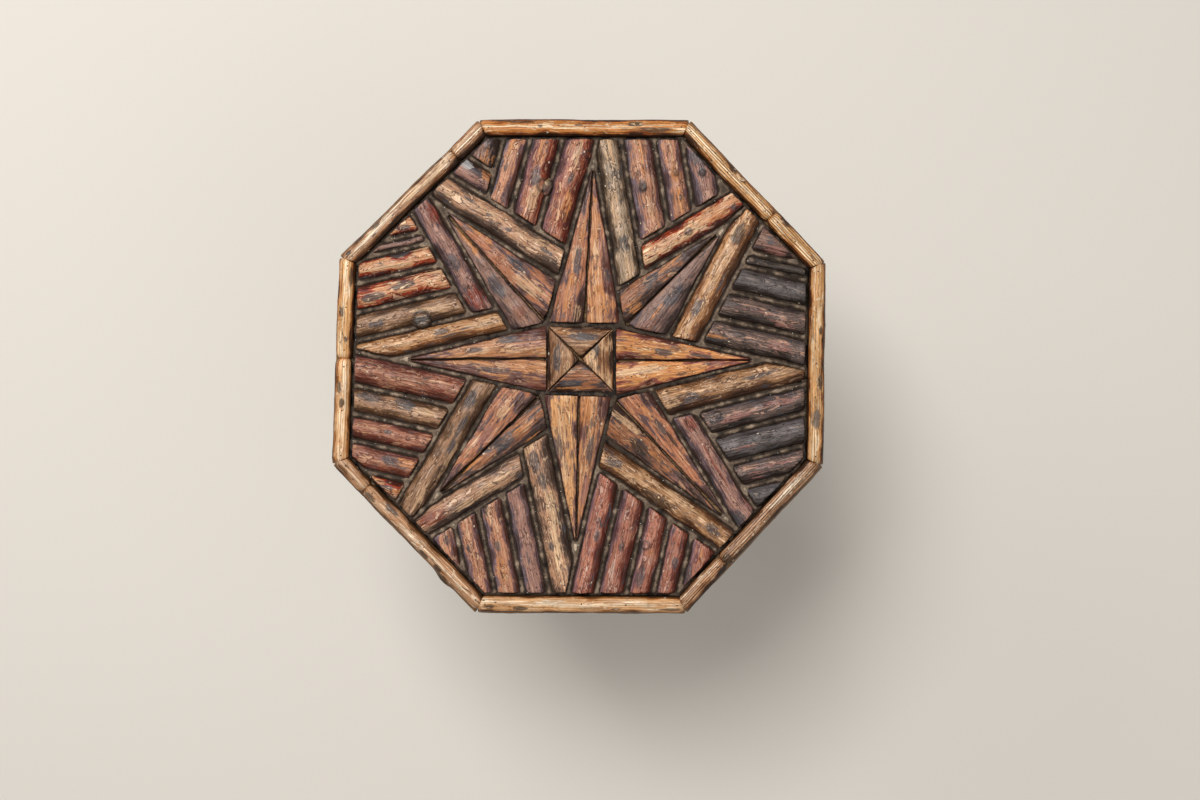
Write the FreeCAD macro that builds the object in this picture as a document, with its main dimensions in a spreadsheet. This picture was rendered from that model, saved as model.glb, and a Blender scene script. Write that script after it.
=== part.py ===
import FreeCAD, Part
import Sketcher
import math
import os

# Rustic octagonal twig table: a mosaic top of split twigs on a plank board, on a base of tenoned poles.
# The frame has its origin on the floor under the middle of the top, +Z up, +X and +Y along the top.

Vector = FreeCAD.Vector
UP = Vector(0, 0, 1)

# Driving sizes in millimetres, and the shares that shape the crowns
SIZES = (
    ("half_width", 280, "middle of the top to its outermost edge"),
    ("mosaic_inset", 2.6, "that edge to the reach that the star and the fields are set out on"),
    ("board_top", 596, "floor to the upper face of the board"),
    ("board_thickness", 20, "thickness of the planks"),
    ("plank_gap", 0.4, "open joint between two planks"),
    ("edge_depth", 10, "how far an edge twig stands out from the board"),
    ("rim_setback", 5.5, "outermost edge to the outer side of the rim"),
    ("rim_width", 16.5, "width of a rim twig"),
    ("rim_height", 14, "height of a rim twig above the board, shaved flat underneath"),
    ("mitre_gap", 0.6, "open joint between two rim or edge twigs"),
    ("twig_gap", 6, "groove between two mosaic pieces"),
    ("split_gap", 2, "crack between two halves of a ray, or two centre chips"),
    ("twig_shoulder", 4, "height of the straight sides of a mosaic piece"),
    ("filler_height", 3, "depth of the bedding in the grooves"),
    ("ray_drop", 3, "fall of a ray from its foot to its tip"),
    ("twig_fall", 1.6, "fall of a twig's crown from one end to the other"),
    ("seat_gap", 0.2, "play between a fitted piece and its seat"),
    ("cut_overrun", 6, "extra length that is trimmed off a fitted piece"),
    ("batten_length", 400, "length of a batten"),
    ("batten_width", 70, "width of a batten"),
    ("batten_thickness", 24, "thickness of a batten"),
    ("batten_bevel", 14, "bevel at the lower ends of a batten"),
    ("leg_top_reach", 135, "middle to a leg's axis at its shoulder, along X and along Y"),
    ("leg_foot_reach", 165, "middle to a leg's axis at the floor, along X and along Y"),
    ("leg_radius", 19, "radius of a leg"),
    ("leg_tenon_radius", 12, "radius of the tenon on a leg"),
    ("leg_tenon_length", 18, "length of the tenon on a leg"),
    ("rail_radius", 14, "radius of an upper rail"),
    ("rail_tenon_radius", 8, "radius of the tenons on a rail"),
    ("stretcher_radius", 12, "radius of a stretcher"),
    ("stretcher_tenon_radius", 7, "radius of the tenons on a stretcher"),
    ("tenon_depth", 13, "depth of a rail or stretcher tenon in its leg"),
    ("shoulder_gap", 1.2, "gap between the shoulder of a tenon and the sloping leg"),
    ("rail_drop_x", 37, "shoulder of a leg down to the axis of the rails along X"),
    ("rail_drop_y", 67, "shoulder of a leg down to the axis of the rails along Y"),
    ("stretcher_height_x", 150, "floor to the axis of the stretchers along X"),
    ("stretcher_height_y", 178, "floor to the axis of the stretchers along Y"),
    ("brace_radius", 8, "radius of a knee brace"),
    ("brace_drop", 88, "rail axis down to the lower end of its brace"),
    ("brace_run", 92, "leg axis along the rail to the upper end of its brace"),
    ("twig_crown_share", 0.64, "crown radius of a split twig over its width"),
    ("slab_crown_share", 0.8, "crown radius of a star piece over its width"),
)

# Corners of the top, clockwise from the left end of the north side, over the half width
CORNER_SHARES = (
    (-0.404, 1.000), (0.451, 0.998), (1.000, 0.422), (0.990, -0.404),
    (0.434, -1.000), (-0.416, -0.996), (-1.000, -0.396), (-0.969, 0.445),
)
SIDES = ("n", "ne", "e", "se", "s", "sw", "w", "nw")

# Rim sides that are butted from two lengths: place of the joint along the side, clockwise
RIM_JOINT_SHARES = {"ne": 0.643, "se": 0.687, "sw": 0.803, "w": 0.510, "nw": 0.788}

# Centre square: its corners clockwise from the north-west, and the point where its chips meet
SQUARE_SHARES = ((-0.121, 0.159), (0.135, 0.151), (0.139, -0.100), (-0.125, -0.100))
MEETING_SHARES = (0.007, 0.030)

# Cardinal rays over the half width: foot on the near side, crack at the foot, foot on the far side, tip
CARDINAL_SHARES = {
    "n": ((-0.116, 0.183), (0.024, 0.181), (0.163, 0.179), (0.058, 0.815)),
    "e": ((0.155, 0.151), (0.155, 0.024), (0.155, -0.112), (0.714, 0.026)),
    "s": ((0.127, -0.128), (0.001, -0.124), (-0.136, -0.120), (-0.011, -0.728)),
    "w": ((-0.136, -0.100), (-0.136, 0.032), (-0.136, 0.159), (-0.708, 0.027)),
}

# Diagonal rays: foot along the edge of the ray before, foot along the edge of the ray after, and tip
DIAGONAL_SHARES = {
    "ne": (0.190, 0.348, (0.572, 0.544)),
    "se": (0.225, 0.250, (0.600, -0.618)),
    "sw": (0.213, 0.298, (-0.570, -0.521)),
    "nw": (0.220, 0.250, (-0.545, 0.629)),
}

# Courses of each field in the order they are laid. A ray course follows the cardinal ray, a border course
# the diagonal ray, and each is a share of the half width. What is left over takes one more twig.
FIELD_COURSE_SHARES = {
    "nne": ((0.129, "ray"), (0.127, "border"), (0.132, "ray"), (0.111, "ray"), (0.122, "ray")),
    "ene": ((0.139, "border"), (0.132, "ray"), (0.117, "ray"), (0.113, "ray"), (0.059, "ray")),
    "ese": ((0.143, "ray"), (0.120, "border"), (0.116, "ray"), (0.127, "ray"), (0.105, "ray")),
    "sse": ((0.129, "border"), (0.123, "ray"), (0.118, "ray"), (0.107, "ray"), (0.099, "ray")),
    "ssw": ((0.143, "ray"), (0.130, "border"), (0.106, "ray"), (0.111, "ray"), (0.105, "ray")),
    "wsw": ((0.130, "border"), (0.144, "ray"), (0.114, "ray"), (0.107, "ray"), (0.111, "ray")),
    "wnw": (
        (0.116, "ray"), (0.120, "border"), (0.112, "ray"), (0.114, "ray"), (0.096, "ray"), (0.050, "ray"),
    ),
    "nnw": ((0.136, "border"), (0.146, "ray"), (0.127, "ray"), (0.104, "ray"), (0.105, "border")),
}
# Fields whose last corner shows bare bedding, and the least width of twig that is worth laying, as a share
BARE_CORNERS = ("nne",)
LEAST_TWIG_SHARE = 0.01
# Height of the blocks that trim the mosaic and rim pieces, over the height of the rim
TRIM_HEIGHT_SHARE = 2
PLANK_COUNT = 3

doc = FreeCAD.newDocument("TwigTable")
sheet = doc.addObject("Spreadsheet::Sheet", "Sizes")
for row, (alias, value, meaning) in enumerate(SIZES, 1):
    sheet.set("A%d" % row, meaning)
    sheet.set("B%d" % row, str(value))
    sheet.setAlias("B%d" % row, alias)
doc.recompute()

nodes = []


def mm(alias):
    """A driving size as a number."""
    return float(getattr(sheet, alias))


def add(kind, label, **expressions):
    """A document object with its sizes bound to the sheet."""
    made = doc.addObject(kind, label)
    made.Label = label
    for name, expression in expressions.items():
        made.setExpression(name, expression)
    return made


def place_along(made, start, end):
    """Lay an object that was made along Z from start towards end."""
    made.Placement = FreeCAD.Placement(start, FreeCAD.Rotation(UP, end - start))


def node(made):
    """Mark an object as a sub-part with a file of its own."""
    nodes.append(made)
    return made


def group(label, pieces):
    """One node for several separate pieces."""
    made = add("Part::Compound", label)
    made.Links = pieces
    return node(made)


# Plan geometry on convex outlines
def unit(start, end):
    return (end - start).normalize()


def point(shares, reach):
    return Vector(shares[0], shares[1], 0) * reach


def clockwise(direction):
    """The direction turned a quarter clockwise, seen from above."""
    return Vector(direction.y, -direction.x, 0)


def middle(outline):
    return sum(outline, Vector()) / len(outline)


def edges(outline):
    return list(zip(outline, outline[1:] + outline[:1]))


def clip(outline, through, inward):
    """The part of an outline on the inward side of a line."""
    kept = []
    for here, there in edges(outline):
        before = (here - through).dot(inward)
        after = (there - through).dot(inward)
        if before >= 0:
            kept.append(here)
        if before * after < 0:
            kept.append(here + (there - here) * (before / (before - after)))
    return kept


def inset(outline, *depths):
    """An outline moved inwards: one depth for all edges, or one for each."""
    depths = depths * len(outline) if len(depths) == 1 else depths
    centre = middle(outline)
    moved = outline
    for (here, there), depth in zip(edges(outline), depths):
        inward = clockwise(unit(here, there))
        if inward.dot(centre - here) < 0:
            inward = inward * -1
        moved = clip(moved, here + inward * depth, inward)
    return moved


def crossing(first, first_way, second, second_way):
    """Where two lines in plan meet."""
    across = clockwise(second_way)
    return first + first_way * ((second - first).dot(across) / first_way.dot(across))


def spread(outline, way):
    """The least and the greatest reach of an outline along a direction."""
    reaches = [corner.dot(way) for corner in outline]
    return min(reaches), max(reaches)


# Solids that the top is made of
def block(label, outline, level, height):
    """An upright block on a plan outline."""
    wire = add("Part::Polygon", label + "_outline")
    wire.Nodes = [corner + UP * level for corner in outline]
    wire.Close = True
    made = add("Part::Extrusion", label + "_block", LengthFwd=height)
    made.Base = wire
    made.DirMode = "Custom"
    made.Dir = UP
    made.Solid = True
    return made


def round_bar(label, start, end, radius):
    """A round bar or bore between two points."""
    made = add("Part::Cylinder", label, Radius=radius)
    made.Height = (end - start).Length
    place_along(made, start, end)
    return made


def common(label, first, second):
    made = add("Part::Common", label)
    made.Base = first
    made.Tool = second
    return made


def cut(label, first, second):
    made = add("Part::Cut", label)
    made.Base = first
    made.Tool = second
    return made


TRIM_HEIGHT = "%g * Sizes.rim_height" % TRIM_HEIGHT_SHARE


def crown_sink(width, share):
    """How far the axis of a crown lies under the shoulders of its piece."""
    return width * math.sqrt(max(share * share - 0.25, 0))


def split_twig(label, outline, along, turn):
    """A split twig with its flat side down: a crown over a trimmed outline, a little lower at one end."""
    away = clockwise(along)
    low, high = spread(outline, away)
    start, end = spread(outline, along)
    width = high - low
    level = mm("board_top") + mm("twig_shoulder") - crown_sink(width, mm("twig_crown_share"))
    axis = away * ((low + high) / 2) + UP * level
    fall = UP * (mm("twig_fall") / 2 if turn else -mm("twig_fall") / 2)
    crown = round_bar(
        label + "_crown",
        axis + along * (start - mm("cut_overrun")) + fall,
        axis + along * (end + mm("cut_overrun")) - fall,
        "%.5f * Sizes.twig_crown_share" % width,
    )
    trim = block(label, outline, mm("board_top"), TRIM_HEIGHT)
    return common(label, trim, crown), trim


def star_slab(label, outline, foot, tip, width, drop):
    """A flat-crowned star piece: its crown falls from foot to tip."""
    share = mm("slab_crown_share")
    level = mm("board_top") + mm("twig_shoulder") - crown_sink(width, share)
    run = unit(foot, tip) * mm("cut_overrun")
    crown = round_bar(
        label + "_crown",
        foot - run + UP * level,
        tip + run + UP * (level - drop),
        "%.5f * Sizes.slab_crown_share" % width,
    )
    return common(label, block(label, outline, mm("board_top"), TRIM_HEIGHT), crown)


# Board: planks along X under the whole top, held by two battens
outline = [point(shares, mm("half_width")) for shares in CORNER_SHARES]
board_outline = inset(outline, mm("edge_depth"))
rim_outside = inset(outline, mm("rim_setback"))
rim_inside = inset(rim_outside, mm("rim_width"))
mosaic_reach = mm("half_width") - mm("mosaic_inset")
board_bottom = mm("board_top") - mm("board_thickness")
shoulder_height = board_bottom - mm("batten_thickness")

plank_width = 2 * mm("half_width") / PLANK_COUNT
for index, place in enumerate(("front", "middle", "back")):
    stock = add(
        "Part::Box", "plank_%s_stock" % place,
        Length="2 * Sizes.half_width",
        Width="2 * Sizes.half_width / %d - Sizes.plank_gap" % PLANK_COUNT,
        Height="Sizes.board_thickness",
    )
    near_side = index * plank_width + mm("plank_gap") / 2 - mm("half_width")
    stock.Placement.Base = Vector(-mm("half_width"), near_side, board_bottom)
    shape = block("plank_%s" % place, board_outline, board_bottom, "Sizes.board_thickness")
    node(common("plank_%s" % place, stock, shape))

# Edge and rim twigs, mitred where the sides meet
for index, side in enumerate(SIDES):
    after = (index + 1) % len(SIDES)
    along = unit(outline[index], outline[after])
    ends_gap = mm("mitre_gap") / 2

    label = "edge_twig_%s" % side
    ring = [outline[index], outline[after], board_outline[after], board_outline[index]]
    ring = inset(ring, 0, ends_gap, 0, ends_gap)
    level = UP * (board_bottom + mm("board_thickness") / 2)
    overrun = along * mm("cut_overrun")
    half_round = add(
        "Part::Cylinder", label + "_round", Radius="min(Sizes.edge_depth; Sizes.board_thickness / 2)",
    )
    half_round.Height = (outline[after] - outline[index]).Length
    place_along(half_round, board_outline[index] + level - overrun, board_outline[after] + level)
    node(common(label, block(label, ring, board_bottom, "Sizes.board_thickness"), half_round))

    label = "rim_twig_%s" % side
    ring = [rim_outside[index], rim_outside[after], rim_inside[after], rim_inside[index]]
    level = UP * (mm("board_top") + mm("rim_height") - mm("rim_width") / 2)
    axis_start = (rim_outside[index] + rim_inside[index]) / 2 - overrun
    axis_end = (rim_outside[after] + rim_inside[after]) / 2 + overrun
    lengths = [ring]
    if side in RIM_JOINT_SHARES:
        joint = rim_outside[index] + (rim_outside[after] - rim_outside[index]) * RIM_JOINT_SHARES[side]
        lengths = [clip(ring, joint, along * -1), clip(ring, joint, along)]
    pieces = []
    for number, length in enumerate(lengths, 1):
        name = label if len(lengths) == 1 else "%s_%d" % (label, number)
        piece_gaps = []
        for here, there in edges(length):
            lengthwise = abs(unit(here, there).dot(along))
            piece_gaps.append(0 if lengthwise > math.cos(math.radians(1)) else ends_gap)
        half_round = round_bar(name + "_round", axis_start + level, axis_end + level, "Sizes.rim_width / 2")
        trim = block(name, inset(length, *piece_gaps), mm("board_top"), TRIM_HEIGHT)
        pieces.append(common(name, trim, half_round))
    if len(pieces) == 1:
        node(pieces[0])
    else:
        group(label, pieces)

# Star: centre chips and cardinal rays first, then the diagonal rays fitted between them
square = [point(shares, mosaic_reach) for shares in SQUARE_SHARES]
meeting = point(MEETING_SHARES, mosaic_reach)
crack = mm("split_gap") / 2
for index, side in enumerate(("n", "e", "s", "w")):
    here, there = square[index], square[(index + 1) % len(square)]
    chip = inset([here, there, meeting], 0, crack, crack)
    along = unit(here, there)
    depth = abs((meeting - here).dot(clockwise(along)))
    rise = (meeting - here).dot(clockwise(along)) / 2
    line = clockwise(along) * rise
    node(star_slab("centre_chip_%s" % side, chip, here + line, there + line, depth, 0))

rays = {}
for side, shares in CARDINAL_SHARES.items():
    rays[side] = [point(pair, mosaic_reach) for pair in shares]
for index in range(1, len(SIDES), 2):
    before, after = rays[SIDES[index - 1]], rays[SIDES[(index + 1) % len(SIDES)]]
    before_share, after_share, tip_shares = DIAGONAL_SHARES[SIDES[index]]
    before_out = clockwise(unit(before[2], before[3])) * mm("twig_gap")
    after_out = clockwise(unit(after[0], after[3])) * -mm("twig_gap")
    inner = crossing(
        before[2] + before_out, before[3] - before[2],
        after[0] + after_out, after[3] - after[0],
    )
    rays[SIDES[index]] = [
        before[2] + (before[3] - before[2]) * before_share + before_out,
        inner,
        after[0] + (after[3] - after[0]) * after_share + after_out,
        point(tip_shares, mosaic_reach),
    ]

beds = []
for side in SIDES:
    near, split, far, tip = rays[side]
    halves = []
    for name, foot in (("left", near), ("right", far)):
        half = inset([foot, split, tip], 0, crack, 0)
        label = "ray_%s_%s" % (side, name)
        base = (foot + split) / 2
        width = abs((foot - split).dot(clockwise(unit(base, tip))))
        halves.append(star_slab(label, half, base, tip, width, mm("ray_drop")))
    group("ray_%s" % side, halves)
    beds.append(block("ray_%s_bed" % side, [near, split, far, tip], mm("board_top"), TRIM_HEIGHT))
beds.append(block("centre_bed", square, mm("board_top"), TRIM_HEIGHT))

# Fields: split twigs laid in courses between two rays and the rim. Past the tip of a cardinal ray the field
# that starts with a border twig runs on straight, and its neighbour is trimmed to a point against it.
groove = mm("twig_gap") / 2
for index, side in enumerate(SIDES):
    after = SIDES[(index + 1) % len(SIDES)]
    cardinal = side if side in CARDINAL_SHARES else after
    diagonal = after if cardinal == side else side
    name = cardinal + diagonal
    runs_on = FIELD_COURSE_SHARES[name][0][1] == "border"
    field = rim_inside
    rulers = {}
    for ray, foot_index, sense in ((side, 2, 1), (after, 0, -1)):
        foot, split, tip = rays[ray][foot_index], rays[ray][1], rays[ray][3]
        far_foot = rays[ray][2 - foot_index]
        away = clockwise(unit(foot, tip)) * sense
        far_away = clockwise(unit(far_foot, tip)) * -sense
        field = clip(field, foot + away * groove, away)
        if ray == diagonal:
            field = clip(field, tip, clockwise(unit(split, tip)) * sense)
        elif not runs_on:
            field = clip(field, far_foot + far_away * groove, far_away * -1)
        rulers["ray" if ray == cardinal else "border"] = (foot, unit(foot, tip), away)

    laid = {"ray": 0, "border": 0}
    cells = []
    for width_share, ruler in FIELD_COURSE_SHARES[name]:
        foot, along, away = rulers[ruler]
        laid[ruler] += width_share * mosaic_reach
        line = foot + away * laid[ruler]
        cells.append((clip(field, line, away * -1), along))
        field = clip(field, line, away)
    if name not in BARE_CORNERS:
        cells.append((field, rulers["ray"][1]))

    twigs = []
    for number, (cell, along) in enumerate(cells, 1):
        cell = inset(cell, groove) if len(cell) > 2 else []
        if len(cell) < 3:
            continue
        low, high = spread(cell, clockwise(along))
        if high - low < LEAST_TWIG_SHARE * mosaic_reach:
            continue
        twig, trim = split_twig("field_%s_%d" % (name, number), cell, along, number % 2)
        twigs.append(twig)
        beds.append(trim)
    group("field_%s" % name, twigs)

# Bedding in the grooves, up to the straight sides of the pieces
bed_pieces = add("Part::Compound", "bed_pieces")
bed_pieces.Links = beds
bedding = block("filler", inset(rim_inside, mm("seat_gap")), mm("board_top"), "Sizes.filler_height")
node(cut("filler", bedding, bed_pieces))


# Base: everything follows the splayed axes of the four legs
def leg_point(side_x, side_y, height):
    """The axis of a leg at a height above the floor."""
    reach = mm("leg_foot_reach") + (mm("leg_top_reach") - mm("leg_foot_reach")) * height / shoulder_height
    return Vector(side_x * reach, side_y * reach, height)


def leg_bar(label, side_x, side_y, play):
    """The round stock of a leg, long enough to be trimmed at the floor and at its shoulder."""
    foot, shoulder = leg_point(side_x, side_y, 0), leg_point(side_x, side_y, shoulder_height)
    overrun = unit(foot, shoulder) * mm("cut_overrun")
    return round_bar(label, foot - overrun, shoulder + overrun, "Sizes.leg_radius + %s" % play)


LEGS = {"nw": (-1, 1), "ne": (1, 1), "se": (1, -1), "sw": (-1, -1)}
SHOULDER_CELLS = "(Sizes.board_top - Sizes.board_thickness - Sizes.batten_thickness)"
RAIL_CELLS = "(" + SHOULDER_CELLS + " - Sizes.rail_drop_%s)"
rail_heights = {way: shoulder_height - mm("rail_drop_%s" % way) for way in "xy"}
stretcher_heights = {way: mm("stretcher_height_%s" % way) for way in "xy"}
# Kind of cross pole, the way it runs, its height as a number and in cells, its radius and its tenon radius
POLES = (
    ("rail", "x", rail_heights["x"], RAIL_CELLS % "x", "rail_radius", "rail_tenon_radius"),
    ("rail", "y", rail_heights["y"], RAIL_CELLS % "y", "rail_radius", "rail_tenon_radius"),
    (
        "stretcher", "x", stretcher_heights["x"], "Sizes.stretcher_height_x",
        "stretcher_radius", "stretcher_tenon_radius",
    ),
    (
        "stretcher", "y", stretcher_heights["y"], "Sizes.stretcher_height_y",
        "stretcher_radius", "stretcher_tenon_radius",
    ),
)


def inward_way(way, side_x, side_y):
    """From a leg towards the leg that a cross pole joins it to."""
    return Vector(-side_x, 0, 0) if way == "x" else Vector(0, -side_y, 0)


leg_tenon_bores = {}
for corner, (side_x, side_y) in LEGS.items():
    label = "leg_%s" % corner
    foot, shoulder = leg_point(side_x, side_y, 0), leg_point(side_x, side_y, shoulder_height)
    run = unit(foot, shoulder)
    room = add(
        "Part::Box", label + "_room",
        Length="2 * Sizes.half_width", Width="2 * Sizes.half_width", Height=SHOULDER_CELLS,
    )
    room.Placement.Base = Vector(-mm("half_width"), -mm("half_width"), 0)
    trimmed = common(label + "_trimmed", leg_bar(label + "_pole", side_x, side_y, "0"), room)
    tenon_end = shoulder + run * mm("leg_tenon_length")
    tenon_start = shoulder - run * mm("cut_overrun")
    tenon = round_bar(label + "_tenon", tenon_start, tenon_end, "Sizes.leg_tenon_radius")
    tenoned = add("Part::Fuse", label + "_tenoned")
    tenoned.Base = trimmed
    tenoned.Tool = tenon
    bores = []
    for kind, way, height, _, _, tenon_radius in POLES:
        inward = inward_way(way, side_x, side_y)
        axis_point = leg_point(side_x, side_y, height)
        bottom = mm("leg_radius") - mm("tenon_depth") - mm("seat_gap")
        mouth = mm("leg_radius") + mm("cut_overrun")
        bores.append(round_bar(
            "%s_%s_%s_mortise" % (label, kind, way),
            axis_point + inward * bottom, axis_point + inward * mouth,
            "Sizes.%s + Sizes.seat_gap" % tenon_radius,
        ))
    mortises = add("Part::Compound", label + "_mortises")
    mortises.Links = bores
    node(cut(label, tenoned, mortises))
    leg_tenon_bores[corner] = round_bar(
        label + "_socket", shoulder - run * mm("cut_overrun"), tenon_end + run * mm("seat_gap"),
        "Sizes.leg_tenon_radius + Sizes.seat_gap",
    )


def plane(body, role):
    """One of a body's own origin planes."""
    return next(part for part in body.Origin.OriginFeatures if part.Role == role)


def profile(body, label, role, corners):
    """A closed sketch on an origin plane of its body, ready for constraints."""
    sketch = body.newObject("Sketcher::SketchObject", label)
    sketch.AttachmentSupport = (plane(body, role), [""])
    sketch.MapMode = "FlatFace"
    for here, there in edges(corners):
        sketch.addGeometry(Part.LineSegment(here, there))
    count = len(corners)
    for index in range(count):
        sketch.addConstraint(Sketcher.Constraint("Coincident", index, 2, (index + 1) % count, 1))
    return sketch


def measure(sketch, kind, index, name, expression, value):
    """A named distance from the sketch origin to the start of a line, bound to the sheet."""
    number = sketch.addConstraint(Sketcher.Constraint(kind, -1, 1, index, 1, value))
    sketch.renameConstraint(number, name)
    sketch.setExpression("Constraints.%s" % name, expression)


def mirror(sketch, first, second):
    """Keep the starts of two lines symmetric about the upright axis of the sketch."""
    sketch.addConstraint(Sketcher.Constraint("Symmetric", first, 1, second, 1, -2))


def tenoned_pole(label, height, height_cells, radius, tenon_radius):
    """A cross pole along X: a revolved profile with a shouldered round tenon at each end."""
    splay = "(Sizes.leg_top_reach - Sizes.leg_foot_reach) * %s / %s" % (height_cells, SHOULDER_CELLS)
    face = "(Sizes.leg_foot_reach + %s - Sizes.leg_radius)" % splay
    face_reach = leg_point(1, 1, height).x - mm("leg_radius")
    root = face_reach - mm("shoulder_gap")
    end = face_reach + mm("tenon_depth")
    body = add("PartDesign::Body", label)
    corners = [
        Vector(-end, 0, 0), Vector(-end, mm(tenon_radius), 0), Vector(-root, mm(tenon_radius), 0),
        Vector(-root, mm(radius), 0), Vector(root, mm(radius), 0), Vector(root, mm(tenon_radius), 0),
        Vector(end, mm(tenon_radius), 0), Vector(end, 0, 0),
    ]
    half_outline = profile(body, label + "_profile", "XZ_Plane", corners)
    for first, second in ((0, 7), (1, 6), (2, 5), (3, 4)):
        mirror(half_outline, first, second)
    half_outline.addConstraint(Sketcher.Constraint("PointOnObject", 7, 1, -1))
    reaches = ((4, face + " - Sizes.shoulder_gap"), (5, face + " - Sizes.shoulder_gap"))
    for index, cells in reaches + ((6, face + " + Sizes.tenon_depth"), (7, face + " + Sizes.tenon_depth")):
        measure(half_outline, "DistanceX", index, "reach_%d" % index, cells, corners[index].x)
    for index, cells in ((4, radius), (5, tenon_radius), (6, tenon_radius)):
        measure(half_outline, "DistanceY", index, "radius_%d" % index, "Sizes.%s" % cells, mm(cells))
    turned = body.newObject("PartDesign::Revolution", label + "_turned")
    turned.Profile = half_outline
    turned.ReferenceAxis = (half_outline, ["H_Axis"])
    turned.Angle = 360
    half_outline.Visibility = False
    return body


for kind, way, height, height_cells, radius, tenon_radius in POLES:
    reach = leg_point(1, 1, height).x
    for sense, place in ((1, "n" if way == "x" else "e"), (-1, "s" if way == "x" else "w")):
        made = tenoned_pole("%s_%s" % (kind, place), height, height_cells, radius, tenon_radius)
        turn = FreeCAD.Rotation(UP, 0 if way == "x" else 90)
        offset = Vector(0, sense * reach, height) if way == "x" else Vector(sense * reach, 0, height)
        made.Placement = FreeCAD.Placement(offset, turn)
        node(made)


def batten(label, side_x):
    """A batten along Y with bevelled lower ends and sockets for two leg tenons."""
    half = mm("batten_length") / 2
    low = half - mm("batten_bevel")
    thick = mm("batten_thickness")
    body = add("PartDesign::Body", label + "_body")
    corners = [
        Vector(-low, 0, 0), Vector(low, 0, 0), Vector(half, mm("batten_bevel"), 0),
        Vector(half, thick, 0), Vector(-half, thick, 0), Vector(-half, mm("batten_bevel"), 0),
    ]
    sketch = profile(body, label + "_side", "YZ_Plane", corners)
    for first, second in ((0, 1), (2, 5), (3, 4)):
        mirror(sketch, first, second)
    sketch.addConstraint(Sketcher.Constraint("PointOnObject", 1, 1, -1))
    measure(sketch, "DistanceX", 1, "flat_reach", "Sizes.batten_length / 2 - Sizes.batten_bevel", low)
    measure(sketch, "DistanceX", 2, "bevel_reach", "Sizes.batten_length / 2", half)
    measure(sketch, "DistanceY", 2, "bevel_height", "Sizes.batten_bevel", mm("batten_bevel"))
    measure(sketch, "DistanceX", 3, "top_reach", "Sizes.batten_length / 2", half)
    measure(sketch, "DistanceY", 3, "top_height", "Sizes.batten_thickness", thick)
    pad = body.newObject("PartDesign::Pad", label + "_pad")
    pad.Profile = sketch
    pad.SideType = "Symmetric"
    pad.setExpression("Length", "Sizes.batten_width")
    sketch.Visibility = False
    body.Placement.Base = Vector(side_x * mm("leg_top_reach"), 0, shoulder_height)
    sockets = add("Part::Compound", label + "_sockets")
    sockets.Links = [leg_tenon_bores[name] for name, sides in LEGS.items() if sides[0] == side_x]
    return cut(label, body, sockets)


node(batten("batten_w", -1))
node(batten("batten_e", 1))

# Knee braces, coped to the round of the leg and of the rail
for corner, (side_x, side_y) in LEGS.items():
    braces = []
    for kind, way, height, _, radius, _ in POLES:
        if kind != "rail":
            continue
        label = "brace_%s_%s" % (corner, way)
        inward = inward_way(way, side_x, side_y)
        low = leg_point(side_x, side_y, height - mm("brace_drop"))
        joint = leg_point(side_x, side_y, height)
        high = joint + inward * mm("brace_run")
        stock = round_bar(label + "_stock", low, high, "Sizes.brace_radius")
        seats = add("Part::Compound", label + "_seats")
        seats.Links = [
            leg_bar(label + "_leg_seat", side_x, side_y, "Sizes.seat_gap"),
            round_bar(
                label + "_rail_seat", joint, high + inward * mm("brace_run"),
                "Sizes.%s + Sizes.seat_gap" % radius,
            ),
        ]
        braces.append(cut(label, stock, seats))
    group("braces_%s" % corner, braces)

doc.recompute()

# Nothing is written unless every object is sound
for made in doc.Objects:
    if "Invalid" in made.State or "Error" in made.State:
        raise RuntimeError("%s could not be built" % made.Label)
for made in nodes:
    if made.Shape.isNull() or not made.Shape.isValid() or not made.Shape.Solids:
        raise RuntimeError("%s has no sound shape" % made.Label)

os.makedirs("parts", exist_ok=True)
for made in nodes:
    made.Shape.exportStep("parts/%s.step" % made.Label)
print("%d nodes, %d solids" % (len(nodes), sum(len(made.Shape.Solids) for made in nodes)))
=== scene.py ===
import math
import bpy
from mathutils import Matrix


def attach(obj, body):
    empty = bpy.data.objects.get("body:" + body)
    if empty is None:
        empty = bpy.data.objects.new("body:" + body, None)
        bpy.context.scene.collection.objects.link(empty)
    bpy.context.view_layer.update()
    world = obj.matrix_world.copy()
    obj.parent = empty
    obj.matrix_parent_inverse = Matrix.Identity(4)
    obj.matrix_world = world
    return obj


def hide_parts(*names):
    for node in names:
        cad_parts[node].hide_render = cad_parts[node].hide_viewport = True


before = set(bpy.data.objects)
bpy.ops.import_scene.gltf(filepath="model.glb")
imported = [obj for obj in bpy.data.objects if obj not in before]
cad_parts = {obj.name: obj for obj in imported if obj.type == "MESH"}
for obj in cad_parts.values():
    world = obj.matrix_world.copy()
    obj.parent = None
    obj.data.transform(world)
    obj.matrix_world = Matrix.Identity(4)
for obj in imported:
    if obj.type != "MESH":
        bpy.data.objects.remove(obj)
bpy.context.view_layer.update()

from types import SimpleNamespace
import bpy
import numpy as np
from mathutils.kdtree import KDTree

# Rustic octagonal twig table: each CAD solid is taken over as a worn, barked or peeled piece of wood.
scene = bpy.context.scene
MM = 0.001

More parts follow.
